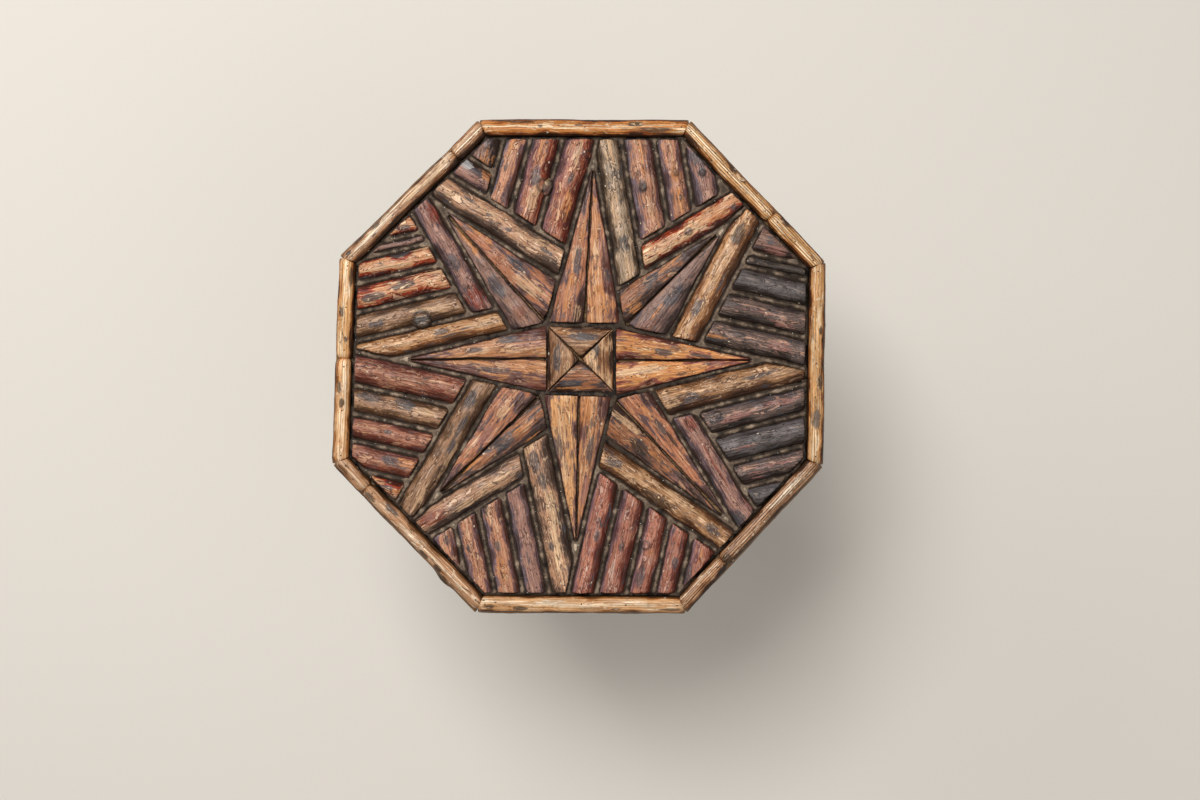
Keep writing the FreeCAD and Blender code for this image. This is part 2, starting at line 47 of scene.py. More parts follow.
# Finishes of the wood: colour low on the sides, which is partly painted shade, of the bark, of the worn crown
# and of its palest streaks, which are partly painted highlight, and how far the wear has gone
FINISHES = {
    "cherry": ("#522015", "#783A28", "#A66A54", "#C49E8C", -0.05),
    "garnet": ("#4A190E", "#76321E", "#9E644C", "#DEAE88", -0.08),
    "mauve": ("#522F25", "#6E4E4E", "#B67E60", "#D8AC8A", 0.00),
    "plum": ("#3B2620", "#5E484A", "#987062", "#BA907C", 0.00),
    "rose": ("#4E2317", "#703828", "#96624C", "#C09474", -0.05),
    "russet": ("#45140A", "#92320F", "#C28A62", "#F6D4AC", -0.06),
    "honey": ("#5C371C", "#784824", "#B28054", "#E6C09A", 0.00),
    "tawny": ("#492B17", "#664022", "#A27650", "#E8BE98", -0.03),
    "driftwood": ("#423128", "#624A3C", "#AC8062", "#EAC4A2", -0.02),
    "ash": ("#3F3023", "#6B5542", "#A48C74", "#C8A88A", 0.02),
    "umber": ("#4A301F", "#62452C", "#967054", "#C29E80", -0.05),
    "slate": ("#261D19", "#42362F", "#625049", "#BA907A", 0.01),
    "graphite": ("#28201B", "#443C38", "#5A5250", "#7E6E66", -0.02),
    "coal": ("#1B1512", "#312822", "#4A403A", "#8A7060", 0.00),
    "toast": ("#4C281D", "#6C4A44", "#B67C52", "#DCB088", -0.02),
    "ember": ("#4B1F12", "#864A3E", "#C8864E", "#F4CEA0", -0.06),
    "biscuit": ("#472821", "#72524C", "#CA9260", "#E6BC90", -0.03),
    "dusk": ("#2E1F1B", "#604740", "#8A685A", "#A67E66", -0.06),
    "walnut": ("#311D15", "#4E3C38", "#945E3E", "#C69A74", -0.16),
    "brick": ("#3B221B", "#624846", "#AE7050", "#DAAC86", -0.07),
    "chip": ("#331F13", "#7A4E2E", "#B88E68", "#E2BC94", 0.06),
    "cocoa": ("#331D11", "#6C462A", "#946C4E", "#CAA280", -0.02),
    "knot": ("#2E2621", "#4C443E", "#726254", "#A88C70", -0.05),
    "peeled": ("#3C1C08", "#945420", "#D29B62", "#F8D8B0", 0.01),
    "pale_peeled": ("#5E3818", "#A86830", "#D6A270", "#F4D6B2", 0.02),
    "dusty_peeled": ("#38200E", "#7E4C26", "#B4845E", "#F4DABA", -0.10),
    "mottled_peeled": ("#4A2E18", "#86562E", "#BA8A64", "#F8DEBE", -0.02),
    "brown_peeled": ("#361A08", "#884414", "#C67C3A", "#F8D6AA", -0.04),
    "edge": ("#1A120C", "#50351D", "#90622C", "#C0935A", 0.00),
    "pole": ("#1C1510", "#45362B", "#6C543E", "#97795A", 0.00),
    "plank": ("#3A2A1C", "#6A5038", "#8A6C4C", "#A98A64", 0.00),
}

# Finish of each piece on the top whose twigs are alike
NODE_FINISHES = {
    "rim_twig_n": "brown_peeled", "rim_twig_nw": "dusty_peeled", "rim_twig_sw": "mottled_peeled",
    "rim_twig_se": "dusty_peeled", "rim_twig_s": "pale_peeled", "ray_e": "ember", "ray_w": "toast",
    "centre_chip_n": "cocoa", "centre_chip_s": "walnut", "centre_chip_w": "cocoa",
}
# Middle of each other twig on the top in millimetres and its finish
TWIG_FINISHES = {
    "field_nne": (
        (125, 153, "russet"), (44, 174, "ash"), (75, 201, "mauve"), (107, 210, "mauve"), (139, 216, "plum"),
    ),
    "field_nnw": (
        (-87, 158, "driftwood"), (-13, 200, "garnet"), (-48, 210, "garnet"), (-79, 219, "mauve"),
        (-105, 242, "dusk"), (-117, 214, "plum"), (-34, 201, "knot"),
    ),
    "field_wnw": (
        (-142, 122, "plum"), (-165, 32, "honey"), (-190, 57, "umber"), (-198, 88, "russet"),
        (-205, 116, "russet"), (-204, 137, "dusk"), (-199, 157, "russet"), (-176, 51, "knot"),
    ),
    "field_wsw": (
        (-148, -90, "umber"), (-191, -15, "rose"), (-201, -48, "umber"), (-210, -77, "rose"),
        (-219, -106, "rose"), (-216, -137, "russet"),
    ),
    "field_ssw": (
        (-120, -144, "driftwood"), (-32, -166, "driftwood"), (-59, -195, "plum"), (-89, -203, "mauve"),
        (-117, -211, "mauve"), (-149, -205, "mauve"),
    ),
    "field_sse": (
        (95, -145, "tawny"), (18, -189, "cherry"), (49, -199, "cherry"), (79, -209, "cherry"),
        (106, -217, "cherry"), (136, -223, "cherry"),
    ),
    "field_ese": (
        (152, -114, "plum"), (170, -21, "tawny"), (197, -50, "slate"), (206, -82, "graphite"),
        (215, -113, "slate"), (211, -144, "graphite"),
    ),
    "field_ene": (
        (155, 100, "honey"), (199, 27, "slate"), (208, 59, "slate"), (215, 90, "graphite"),
        (222, 113, "coal"), (222, 139, "dusk"),
    ),
    "rim_twig_w": ((-264, -50, "pale_peeled"), (-259, 65, "peeled")),
    "ray_n": ((0, 134, "brick"), (21, 135, "toast")),
    "ray_ne": ((99, 105, "walnut"), (114, 91, "dusk")),
    "ray_se": ((110, -97, "brick"), (96, -111, "walnut")),
    "ray_s": ((8, -115, "toast"), (-11, -114, "biscuit")),
    "ray_sw": ((-109, -81, "brick"), (-94, -95, "walnut")),
    "ray_nw": ((-87, 121, "brick"), (-101, 105, "dusk")),
}

# Kinds of marks on the top: colour, and how firmly it covers the grain
MARK_KINDS = {
    "slate": ("#424246", 0.85), "amber": ("#C07E48", 0.52), "lichen": ("#A9A6A4", 1),
    "pale": ("#CAA27C", 0.5), "red": ("#7A2A14", 0.65), "cream": ("#DDB68C", 0.6), "coal": ("#231F1C", 1),
    "rosy": ("#94645A", 0.52), "bark": ("#3A2C20", 1), "rust": ("#7A4836", 0.52),
}
# Marks by kind: place in millimetres, reach along the twig and reach across it
MARKS = {
    "slate": (
        (-102, 256, 7, 10), (-115, 218, 8, 6), (-82, 223, 4, 3), (-49, 213, 10, 7), (-9, 211, 6, 4),
        (-79, 153, 4, 3), (-36, 129, 8, 4), (-122, 187, 7, 3), (-140, 117, 10, 7), (-198, 156, 9, 4),
        (-201, 127, 10, 6), (-196, 92, 11, 7), (-232, 78, 13, 6), (-227, 48, 8, 6), (-154, 39, 7, 4),
        (43, 214, 6, 8), (51, 138, 7, 8), (72, 201, 7, 6), (114, 190, 4, 3), (138, 218, 6, 6),
        (134, 234, 9, 10), (123, 151, 6, 3), (173, 178, 4, 3), (134, 67, 11, 7), (-234, -34, 11, 7),
        (-195, -43, 10, 8), (-215, -74, 4, 4), (-212, -105, 8, 6), (-218, -136, 9, 4), (-122, -37, 11, 7),
        (-131, -66, 13, 4), (-65, -122, 4, 3), (-49, -107, 13, 9), (-42, -128, 9, 8), (-30, -202, 6, 4),
        (-91, -202, 6, 4), (-124, -205, 6, 3), (-104, -161, 6, 4), (-149, -195, 8, 4), (40, -107, 9, 8),
        (151, -184, 9, 7), (21, -191, 6, 4), (48, -203, 6, 4), (70, -203, 7, 7), (108, -221, 7, 4),
        (123, -234, 10, 6), (69, -234, 13, 6), (127, -34, 9, 6), (198, -11, 16, 4), (179, -170, 9, 10),
        (156, -60, 7, 4), (-72, 115, 11, 6), (-91, 89, 13, 9), (-1, 116, 13, 6), (31, 101, 6, 3),
        (-79, 30, 10, 6), (-119, 18, 10, 4), (-97, -4, 16, 4), (82, 98, 9, 6), (105, 78, 13, 8),
        (95, 16, 10, 6), (136, 12, 13, 3), (-83, -88, 11, 6), (-22, -90, 12, 6), (13, -94, 13, 6),
        (91, -69, 10, 4), (-23, 9, 12, 6), (5, 32, 15, 6), (18, 18, 9, 6), (-8, -18, 11, 4),
        (266, -59, 10, 7), (-210, -161, 9, 5), (-176, 52, 7, 6),
    ),
    "amber": (
        (-105, 234, 9, 10), (-104, 214, 7, 7), (-76, 243, 16, 4), (-40, 243, 15, 7), (-14, 181, 18, 7),
        (70, 232, 17, 4), (108, 218, 9, 6), (113, 187, 13, 6), (156, 169, 13, 6), (153, 33, 11, 4),
        (-193, -109, 9, 6), (-206, -141, 9, 4), (-86, -225, 11, 6), (80, -209, 4, 3), (136, -213, 8, 4),
        (-111, 147, 18, 4), (-122, 138, 16, 4), (-10, 86, 20, 8), (5, 153, 13, 4), (24, 74, 18, 10),
        (-60, -4, 13, 7), (-113, 5, 16, 2), (100, 110, 16, 3), (63, 67, 9, 7), (86, 60, 11, 2),
        (63, 24, 13, 7), (125, -2, 18, 3), (-66, -66, 11, 6), (-122, -111, 16, 3), (-55, -83, 9, 4),
        (8, -49, 16, 8), (74, -51, 9, 6), (86, -100, 11, 3), (-18, 37, 9, 4), (-4, -24, 18, 3),
    ),
    "lichen": ((-128, 228, 12, 7),),
    "pale": (
        (-52, 189, 16, 7), (-1, 240, 13, 7), (-141, 192, 15, 7), (-103, 172, 16, 6), (-63, 147, 11, 8),
        (-43, 138, 13, 8), (-186, 165, 9, 7), (-178, 131, 13, 6), (-223, 110, 16, 6), (-159, 104, 13, 7),
        (-156, 65, 11, 6), (-197, 25, 10, 4), (-113, 48, 13, 7), (-94, 52, 9, 7), (55, 108, 11, 8),
        (34, 243, 13, 6), (40, 181, 16, 6), (81, 176, 10, 6), (101, 135, 13, 6), (153, 100, 20, 6),
        (119, 41, 13, 8), (168, 125, 11, 6), (-174, -51, 11, 6), (-148, -107, 25, 4), (-178, -146, 16, 6),
        (-94, -133, 20, 8), (-128, -154, 11, 6), (-55, -91, 8, 7), (58, -125, 11, 7), (114, -150, 18, 6),
        (69, -130, 13, 4), (181, -19, 16, 6), (103, -41, 11, 8), (232, -6, 13, 4), (-55, 88, 20, 9),
        (-3, 61, 9, 7), (-83, -51, 10, 6), (-18, -66, 22, 7), (-14, -116, 16, 6), (54, -65, 16, 7),
        (30, 24, 8, 7), (-12, -6, 9, 4),
    ),
    "red": (
        (-116, 78, 13, 13), (-165, 172, 11, 9), (-164, -170, 18, 9), (151, -107, 38, 2), (125, -65, 11, 7),
    ),
    "rust": ((-66, 61, 11, 9), (-49, -19, 11, 6), (78, 46, 9, 7), (60, -24, 11, 4)),
    "cream": (
        (78, 121, 15, 8), (128, 154, 17, 7), (-30, -161, 22, 8), (-25, -204, 27, 7), (69, -4, 25, 6),
        (-185, 194, 14, 4), (-165, 212, 14, 4), (-154, 226, 10, 3), (-178, 64, 9, 3), (-34, 206, 4, 4),
    ),
    "coal": (
        (-65, 274, 14, 2), (-43, 269, 3, 2), (0, 270, 4, 2), (64, 272, 8, 4), (173, 221, 6, 4),
        (184, 208, 4, 3), (231, 161, 6, 3), (272, 40, 4, 3), (271, -18, 8, 4), (214, -172, 18, 2),
        (189, -199, 14, 2), (161, -229, 7, 4), (41, -273, 5, 2), (-66, -271, 8, 4), (-158, -226, 5, 4),
        (-174, -211, 6, 3), (-234, -146, 7, 4), (-266, -41, 5, 4), (-269, -24, 7, 4), (-266, 61, 6, 4),
        (-228, 158, 6, 3), (-258, 127, 3, 3), (179, 149, 11, 9), (215, 117, 10, 4), (9, -74, 6, 2),
        (103, -82, 10, 3), (69, -91, 13, 7),
    ),
    "rosy": (
        (220, 128, 10, 6), (226, 22, 13, 6), (192, 63, 25, 3), (232, 46, 13, 4), (176, -57, 16, 6),
        (226, -40, 18, 6), (187, -91, 13, 4), (220, -110, 16, 4), (200, -122, 10, 6), (190, -155, 7, 6),
        (25, 142, 20, 4), (-55, 24, 18, 6), (-103, -77, 11, 7), (6, -139, 16, 4), (114, -128, 16, 4),
        (-35, 198, 6, 4), (75, -201, 5, 4),
    ),
    "bark": (
        (89, -149, 22, 8), (86, 265, 16, 4), (106, 259, 18, 3), (129, 251, 12, 3), (166, -215, 5, 8),
        (103, -273, 10, 2), (-100, -269, 6, 4), (-255, 100, 9, 3), (-137, 231, 6, 3), (-189, 67, 12, 4),
    ),
}

# Knots and stubs of cut side shoots: place in millimetres, radius and rise
KNOTS = (
    (-33, 206, 605, 4, 1.0), (-40, 203, 607, 9, 2.4), (10, 238, 604, 6, 4.0), (-176, 53, 606, 12, 2.6),
    (156, -55, 607, 5, 2.2), (75, -201, 606, 6, 3.4), (139, 217, 606, 5, 1.4), (73, 200, 606, 6, 1.6),
    (109, 216, 606, 4, 1.2), (-153, -115, 607, 5, 1.8), (-101, 246, 606, 4, 1.2), (123, 151, 607, 5, 1.6),
    (-105, -161, 606, 4, 1.4), (-157, -245, 588, 11, 5.0),
)

# Stumps of side shoots by field: place and top in millimetres, half length, half width and turn in degrees
STUMPS = {"field_wnw": ((-176, 52, 607, 10, 8, 15),), "field_nnw": ((-35, 201, 606, 9.5, 4.6, 74),)}

# Middle of the star
STAR_CENTRE = np.array((0.9, 7.6)) * MM

# Inner corners of the rim, where dark pitch fills the mitres
RIM_CORNERS = (
    (-104, 258), (117, 257), (258, 109), (255, -104), (112, -258), (-107, -257), (-258, -102), (-250, 115),
)

# Colours of a finish, as layers that each piece carries
LAYERS = ("side", "bark", "crown", "light")
# Kinds of node that are used most
MATH, RANGE, NOISE, MIX = "ShaderNodeMath", "ShaderNodeMapRange", "ShaderNodeTexNoise", "ShaderNodeMix"


def to_linear(code):
    """An sRGB hex colour as linear red, green and blue with full alpha."""
    channels = [int(code[i:i + 2], 16) / 255 for i in (1, 3, 5)]
    return [c / 12.92 if c <= 0.04045 else ((c + 0.055) / 1.055) ** 2.4 for c in channels] + [1.0]


def add(tree, kind, inputs=(), out=0, **settings):
    """Add a node with its settings and inputs, in order or by name, and give back an output or the node."""
    made = tree.nodes.new(kind)
    for name, value in settings.items():
        setattr(made, name, value)
    for socket, value in inputs.items() if isinstance(inputs, dict) else enumerate(inputs):
        if isinstance(value, bpy.types.NodeSocket):
            tree.links.new(value, made.inputs[socket])
        else:
            made.inputs[socket].default_value = value
    return made if out is None else made.outputs[out]


# Materials
def bare_material(name):
    """A material with an empty tree, and that tree."""
    material = bpy.data.materials.new(name)
    material.use_nodes = True
    material.node_tree.nodes.clear()
    return material, material.node_tree


# Noises of the grain: detail and distortion
NOISES = {
    "streak": (4, 0.25), "fibre": (3, 0), "blotch": (4, 1.0), "tear": (4, 0.6), "stain": (3, 0.8),
    "flake": (2, 0.9), "swirl": (1, 1.3),
}
KNOT_RING, WORM_HOLE, CHALK_SPECK = to_linear("#20150F"), to_linear("#15100B"), to_linear("#D2BFA4")
# Grain of each wood, in the order of their names: sizes of its noises along and across, and of lines and
# holes, in millimetres, then the parts that its layers take
WOODS = (
    "varnished twig bark", "split star wood", "peeled varnished sapling", "worn edge bark",
    "furrowed pole bark", "rough sawn softwood",
)
GRAIN = {
    "streak_mm": ((60, 2.4), (110, 2.8), (90, 1.8), (50, 2.2), (60, 3.4), (220, 4)),
    "fibre_mm": ((30, 1.4), (40, 1.0), (40, 1.3), (30, 1.2), (34, 1.6), (120, 1.8)),
    "blotch_mm": ((32, 8), (52, 9), (40, 5), (34, 8), (60, 18), (180, 26)),
    "tear_mm": ((7, 3), (8, 3), (6, 2.4), (7, 3), (10, 5), (14, 5)),
    "stain_mm": ((26, 5), (18, 7), (20, 5), (24, 8), (40, 16), (120, 30)),
    "flake_mm": ((16, 6), (16, 6), (14, 4), (10, 5), (18, 9), (40, 14)),
    "swirl_mm": ((46, 10), (80, 12), (90, 8), (46, 10), (80, 18), (300, 40)),
    "line_mm": (3.2, 3.4, 2.6, 3, 4.5, 7),
    "hole_mm": (10, 12, 8, 11, 16, 40),
    "fibre_range": ((0.56, 1.32), (0.6, 1.28), (0.5, 1.26), (0.75, 1.15), (0.72, 1.15), (0.8, 1.12)),
    "crest_part": (1.0, 1.15, 0.75, 0.5, 0.42, 0.5),
    "streak_part": (0.9, 0.6, 1.4, 1.0, 1.0, 0.7),
    "blotch_part": (1.05, 1.9, 0.9, 1.0, 0.9, 0.6),
    "tear_part": (0.4, 0.6, 0.5, 0.3, 0.35, 0.2),
    "wear_base": (-0.26, -0.48, 0.02, 0.0, 0.0, 0.0),
    "stain": ("#434449", "#403938", "#2C2118", "#1E1712", "#2A231E", "#4E4438"),
    "stain_from": (0.585, 0.58, 0.63, 0.56, 0.58, 0.57),
    "stain_part": (0.82, 0.7, 0.9, 0.8, 0.6, 0.45),
    "swirl_lines": (9, 8, 8, 10, 10, 12),
    "swirl_part": (0.75, 0.45, 0.4, 0.4, 0.4, 0.35),
    "flake_part": (0.7, 0.4, 0.5, 0.3, 0.3, 0.2),
    "curl_part": (0.85, 0.6, 0.5, 0.4, 0.4, 0.2),
    "speck": (0.09, 0.09, 0.14, 0.09, 0.09, 0.09),
    "speck_share": (0.4, 0.3, 0.1, 0.2, 0.2, 0.1),
    # Grime and painted shade at the foot of each side: its colour, and the share of the crest over which it
    # fades
    "dirt": ("#2A1B12", "#281B13", "#2A190A", "#17110C", "#17110C", "#2A2019"),
    "dirt_reach": (0.1, 0.1, 0.12, 0.2, 0.2, 0.05),
    "bump": (1.0, 0.7, 0.7, 0.5, 0.6, 0.4),
    "rough": (0.5, 0.54, 0.5, 0.5, 0.62, 0.75),
    "coat": (0.26, 0.2, 0.25, 0.1, 0.0, 0.0),
}


def grained_wood(name):
    """A material whose grain runs along each twig, from the attributes that the piece carries."""
    look = {key: values[WOODS.index(name)] for key, values in GRAIN.items()}
    material, tree = bare_material(name)
    grain = add(tree, "ShaderNodeAttribute", out="Vector", attribute_name="grain")
    side, bark, crown, light = (
        add(tree, "ShaderNodeAttribute", out="Color", attribute_name=layer) for layer in LAYERS)
    crest, rub, knot, lining = (
        add(tree, "ShaderNodeAttribute", out="Fac", attribute_name=measure)
        for measure in ("crest", "rub", "knot", "lining"))
    mark = add(tree, "ShaderNodeAttribute", out=None, attribute_name="mark").outputs
    noise = {}
    for key, (detail, distortion) in NOISES.items():
        along, across = (size * MM for size in look[key + "_mm"])
        space = add(tree, "ShaderNodeMapping", {
            "Vector": grain, "Scale": (1 / along, 1 / across, 1 / across),
            "Location": (len(noise) * 7.3, len(noise) * 3.1, 0)})
        noise[key] = add(tree, NOISE, {
            "Vector": space, "Scale": 1, "Detail": detail, "Roughness": 0.55, "Distortion": distortion})

    # Coats of colour over that of the sides, in the order they are laid: cover, colour and blend
    coats = []

    # Wear and painted shading: crowns are pale and sides dark, partly as worn bark and partly as painted
    # highlight along the crown and painted shade down the flanks; streaks and blotches shift the borders
    # between the layers
    parts = {key: look[key + "_part"] for key in ("streak", "blotch", "tear")}
    raised = add(tree, MATH, (crest, look["crest_part"], rub), operation="MULTIPLY_ADD")
    wear_and_shading = add(tree, MATH, (raised, sum(parts.values()) / 2 - look["wear_base"]), operation="SUBTRACT")
    for key, part in parts.items():
        wear_and_shading = add(tree, MATH, (noise[key], part, wear_and_shading), operation="MULTIPLY_ADD")
    for layer, low, high in ((bark, 0.06, 0.2), (crown, 0.33, 0.45), (light, 0.72, 0.88)):
        coats.append((add(tree, RANGE, (wear_and_shading, low, high)), layer, "MIX"))

    # Smoky stains and the listed marks, with torn edges
    stained = add(tree, RANGE, (
        noise["stain"], look["stain_from"], look["stain_from"] + 0.1, 0, look["stain_part"]))
    torn = add(tree, MATH, (noise["tear"], 0.9, mark["Alpha"]), operation="MULTIPLY_ADD")
    frayed = add(tree, MATH, (noise["streak"], 1.4, torn), operation="MULTIPLY_ADD")
    marked = add(tree, RANGE, (frayed, 1.46, 1.66, 0, 0.8))
    coats += [(stained, to_linear(look["stain"]), "MIX"), (marked, mark["Color"], "MIX")]

    # Swirls of the grain: contour lines of a slow noise, dark on the line and paler between, broken by tears
    turns = add(tree, MATH, (noise["swirl"], look["swirl_lines"]), operation="MULTIPLY")
    swirl = add(tree, MATH, (turns, 0.5), operation="PINGPONG")
    broken = add(tree, RANGE, (noise["tear"], 0.38, 0.56, 0, look["swirl_part"]))
    shown = add(tree, MATH, (broken, crest), operation="MULTIPLY")
    for layer, low, high in ((side, 0.15, 0.03), (light, 0.38, 0.5)):
        near = add(tree, RANGE, (swirl, low, high))
        coats.append((add(tree, MATH, (near, shown), operation="MULTIPLY"), layer, "MIX"))

    # Fine fibres, and dark lines of the grain
    fibre = add(tree, RANGE, (noise["fibre"], 0.3, 0.7, *look["fibre_range"]))
    line = look["line_mm"] * MM
    line_space = add(tree, "ShaderNodeMapping", {
        "Vector": grain, "Scale": (1 / (90 * MM), 0.314 / line, 0.1 / line)})
    waves = add(tree, "ShaderNodeTexWave", {
        "Vector": line_space, "Scale": 1, "Distortion": 3.5, "Detail": 2, "Detail Scale": 1.2},
        "Fac", bands_direction="Y")
    drawn = add(tree, RANGE, (waves, 0.6, 0.98, 0, 0.75))
    lined = add(tree, MATH, (drawn, lining), operation="MULTIPLY")
    coats += [(1, fibre, "MULTIPLY"), (lined, side, "MIX")]

    # Flakes lifted off the crown: pale inside, with a dark curled edge. Their pale insides on the crown are
    # also painted varnish glints
    flake = add(tree, RANGE, (noise["flake"], 0.63, 0.66, 0, look["flake_part"]))
    flake_and_glint = add(tree, MATH, (flake, crest), operation="MULTIPLY")
    off_edge = add(tree, MATH, (noise["flake"], 0.612), operation="SUBTRACT")
    from_edge = add(tree, MATH, (off_edge,), operation="ABSOLUTE")
    curl = add(tree, RANGE, (from_edge, 0.012, 0.03, look["curl_part"], 0))
    curled = add(tree, MATH, (curl, crest), operation="MULTIPLY")
    coats += [(flake_and_glint, light, "MIX"), (curled, side, "MIX")]

    # Grime and painted shade at the foot of the sides, dark rings of the knots, worm holes and chalky specks
    crevice_grime_and_shade = add(tree, RANGE, (crest, 0.02, look["dirt_reach"], 0.65, 0))
    hole_size = look["hole_mm"] * MM
    hole_space = add(tree, "ShaderNodeMapping", {
        "Vector": grain, "Scale": (0.6 / hole_size, 1 / hole_size, 1 / hole_size)})
    cells = add(tree, "ShaderNodeTexVoronoi", {
        "Vector": hole_space, "Scale": 1, "Randomness": 1}, None).outputs
    speck = add(tree, RANGE, (cells["Distance"], look["speck"] * 0.6, look["speck"], 0.9, 0))
    picked = add(tree, "ShaderNodeSeparateColor", (cells["Color"],))
    chalky = add(tree, MATH, (picked, look["speck_share"]), operation="LESS_THAN")
    hole = add(tree, MATH, (speck, picked), operation="MULTIPLY")
    chalked = add(tree, MATH, (speck, chalky), operation="MULTIPLY")
    coats += [
        (crevice_grime_and_shade, to_linear(look["dirt"]), "MIX"), (knot, KNOT_RING, "MIX"), (hole, WORM_HOLE, "MIX"),
        (chalked, CHALK_SPECK, "MIX"),
    ]

    colour = side
    for cover, tint, blend in coats:
        colour = add(tree, MIX, {0: cover, 6: colour, 7: tint}, 2, data_type="RGBA", blend_type=blend)
    height = noise["streak"]
    for form, part in ((noise["fibre"], 0.4), (flake_and_glint, -0.25), (curled, -0.3), (hole, -0.8)):
        height = add(tree, MATH, (form, part, height), operation="MULTIPLY_ADD")
    bump = add(tree, "ShaderNodeBump", {"Height": height, "Strength": look["bump"], "Distance": 1.0 * MM})
    rough = add(tree, RANGE, (noise["tear"], 0.3, 0.7, look["rough"] + 0.1, look["rough"] - 0.08))
    shader = add(tree, "ShaderNodeBsdfPrincipled", {
        "Base Color": colour, "Roughness": rough, "Normal": bump, "Specular IOR Level": 0.16,
        "Coat Weight": look["coat"], "Coat Roughness": 0.17, "Coat Normal": bump, "IOR": 1.5})
    add(tree, "ShaderNodeOutputMaterial", {"Surface": shader}, None)
    return material


# Bark left on split twigs and varnished long ago: satin red-brown to slate, worn pale along the crown in long
# streaks about 2 mm wide, with smoky stains, small lifted flakes with curled dark edges and worm holes. The
# pale crown also holds painted highlight, the dark flanks painted shade, and some finishes a painted
# lavender-grey sheen on the flank toward the upper left
varnished_bark = grained_wood("varnished twig bark")
# Split heartwood of the star: flatter and duller, with long straight streaks, amber cores and smoky scorched
# patches
split_wood = grained_wood("split star wood")
# Peeled sapling: golden sapwood with fine dark lines along it and many worm pricks, brown at the sides and
# black low in the hollows, as bark left there and as painted shade
peeled_sapwood = grained_wood("peeled varnished sapling")
# Half twigs nailed on the board's edge: brown bark, worn to tan, with black patches
edge_bark = grained_wood("worn edge bark")
# Poles of the base with their bark on: dull grey-brown, furrowed lengthwise, scuffed to tan
pole_bark = grained_wood("furrowed pole bark")
# Softwood planks straight from the saw: dull tan, long grain, grey with age
sawn_plank = grained_wood("rough sawn softwood")

# Bedding of glue and sawdust in the grooves: olive grey and dusty on its ridge, darkened to black where it
# meets the wood as painted shade
bedding, tree = bare_material("dusty groove bedding")
place = add(tree, "ShaderNodeTexCoord", out="Object")
ridge = add(tree, "ShaderNodeAttribute", out="Fac", attribute_name="crest")
clumps = add(tree, NOISE, {"Vector": place, "Scale": 1 / (12 * MM), "Detail": 4, "Roughness": 0.6})
grit = add(tree, NOISE, {"Vector": place, "Scale": 1 / (1.2 * MM), "Detail": 2})
# Painted shade: dark near the walls of the groove, paler with dust on the ridge and in clumps
dust_and_shade_sum = add(tree, MATH, (clumps, 1.8, ridge), operation="MULTIPLY_ADD")
dust_and_shade = add(tree, RANGE, (dust_and_shade_sum, 1.02, 2.15))
laid = add(tree, MATH, (ridge, 1.5, clumps), operation="MULTIPLY_ADD")
strand = add(tree, MATH, (laid, 0.3), operation="PINGPONG")
roped = add(tree, RANGE, (strand, 0.04, 0.26, 0.5, 1.3))
gritty = add(tree, RANGE, (grit, 0.3, 0.7, 0.7, 1.25))
ramp = add(tree, "ShaderNodeValToRGB", {"Fac": dust_and_shade}, None)
ramp.color_ramp.elements.new(0.5)
for element, code in zip(ramp.color_ramp.elements, ("#19120D", "#605042", "#AC9882")):
    element.color = to_linear(code)
tone = ramp.outputs[0]
for shade in (gritty, roped):
    tone = add(tree, MIX, {0: 1, 6: tone, 7: shade}, 2, data_type="RGBA", blend_type="MULTIPLY")
grit_bump = add(tree, "ShaderNodeBump", {"Height": grit, "Strength": 0.6, "Distance": 0.8 * MM})
matt = add(tree, "ShaderNodeBsdfPrincipled", {
    "Base Color": tone, "Roughness": 0.55, "Normal": grit_bump, "Specular IOR Level": 0.12})
add(tree, "ShaderNodeOutputMaterial", {"Surface": matt}, None)


def mottled(name, size, detail, codes, finish):
    """A plain material between two colours, mottled by a noise of this size in millimetres."""
    material, tree = bare_material(name)
    place = add(tree, "ShaderNodeTexCoord", out="Object")
    mottle = add(tree, NOISE, {"Vector": place, "Scale": 1 / (size * MM), "Detail": detail})
    ramp = add(tree, "ShaderNodeValToRGB", {"Fac": mottle}, None)
    for element, code in zip(ramp.color_ramp.elements, codes):
        element.color = to_linear(code)
    shader = add(tree, "ShaderNodeBsdfPrincipled", {"Base Color": ramp.outputs[0], **finish})
    add(tree, "ShaderNodeOutputMaterial", {"Surface": shader}, None)
    return material


# Wire brads driven into the twigs: dull dark steel with brown rust
brad_steel = mottled("rusted brad steel", 1.5, 3, ("#2B2623", "#5C4638"), {"Metallic": 0.6, "Roughness": 0.5})
# Chalky crumbs caught in the grooves: dull off-white grains
chalk = mottled("chalky groove crumbs", 2, 2, ("#8E8878", "#DAD6CA"), {"Roughness": 0.9})


# Geometry Nodes trees
def new_tree(name, labels):
    """A tree with a geometry in and out, the named inputs and a material: the tree and its inputs."""
    tree = bpy.data.node_groups.new(name, "GeometryNodeTree")
    kinds = {"Geometry": "NodeSocketGeometry", "Seed": "NodeSocketInt", "Material": "NodeSocketMaterial"}
    tree.interface.new_socket(name="Geometry", in_out="OUTPUT", socket_type=kinds["Geometry"])
    for label in ("Geometry", *labels, "Material"):
        kind = kinds.get(label, "NodeSocketFloat")
        tree.interface.new_socket(name=label, in_out="INPUT", socket_type=kind)
    return tree, add(tree, "NodeGroupInput", out=None).outputs


def end_tree(tree, geometry, material):
    """End a tree with its instances made real and its material set."""
    real = add(tree, "GeometryNodeRealizeInstances", (geometry,))
    painted = add(tree, "GeometryNodeSetMaterial", {"Geometry": real, "Material": material})
    add(tree, "NodeGroupOutput", (painted,), None)


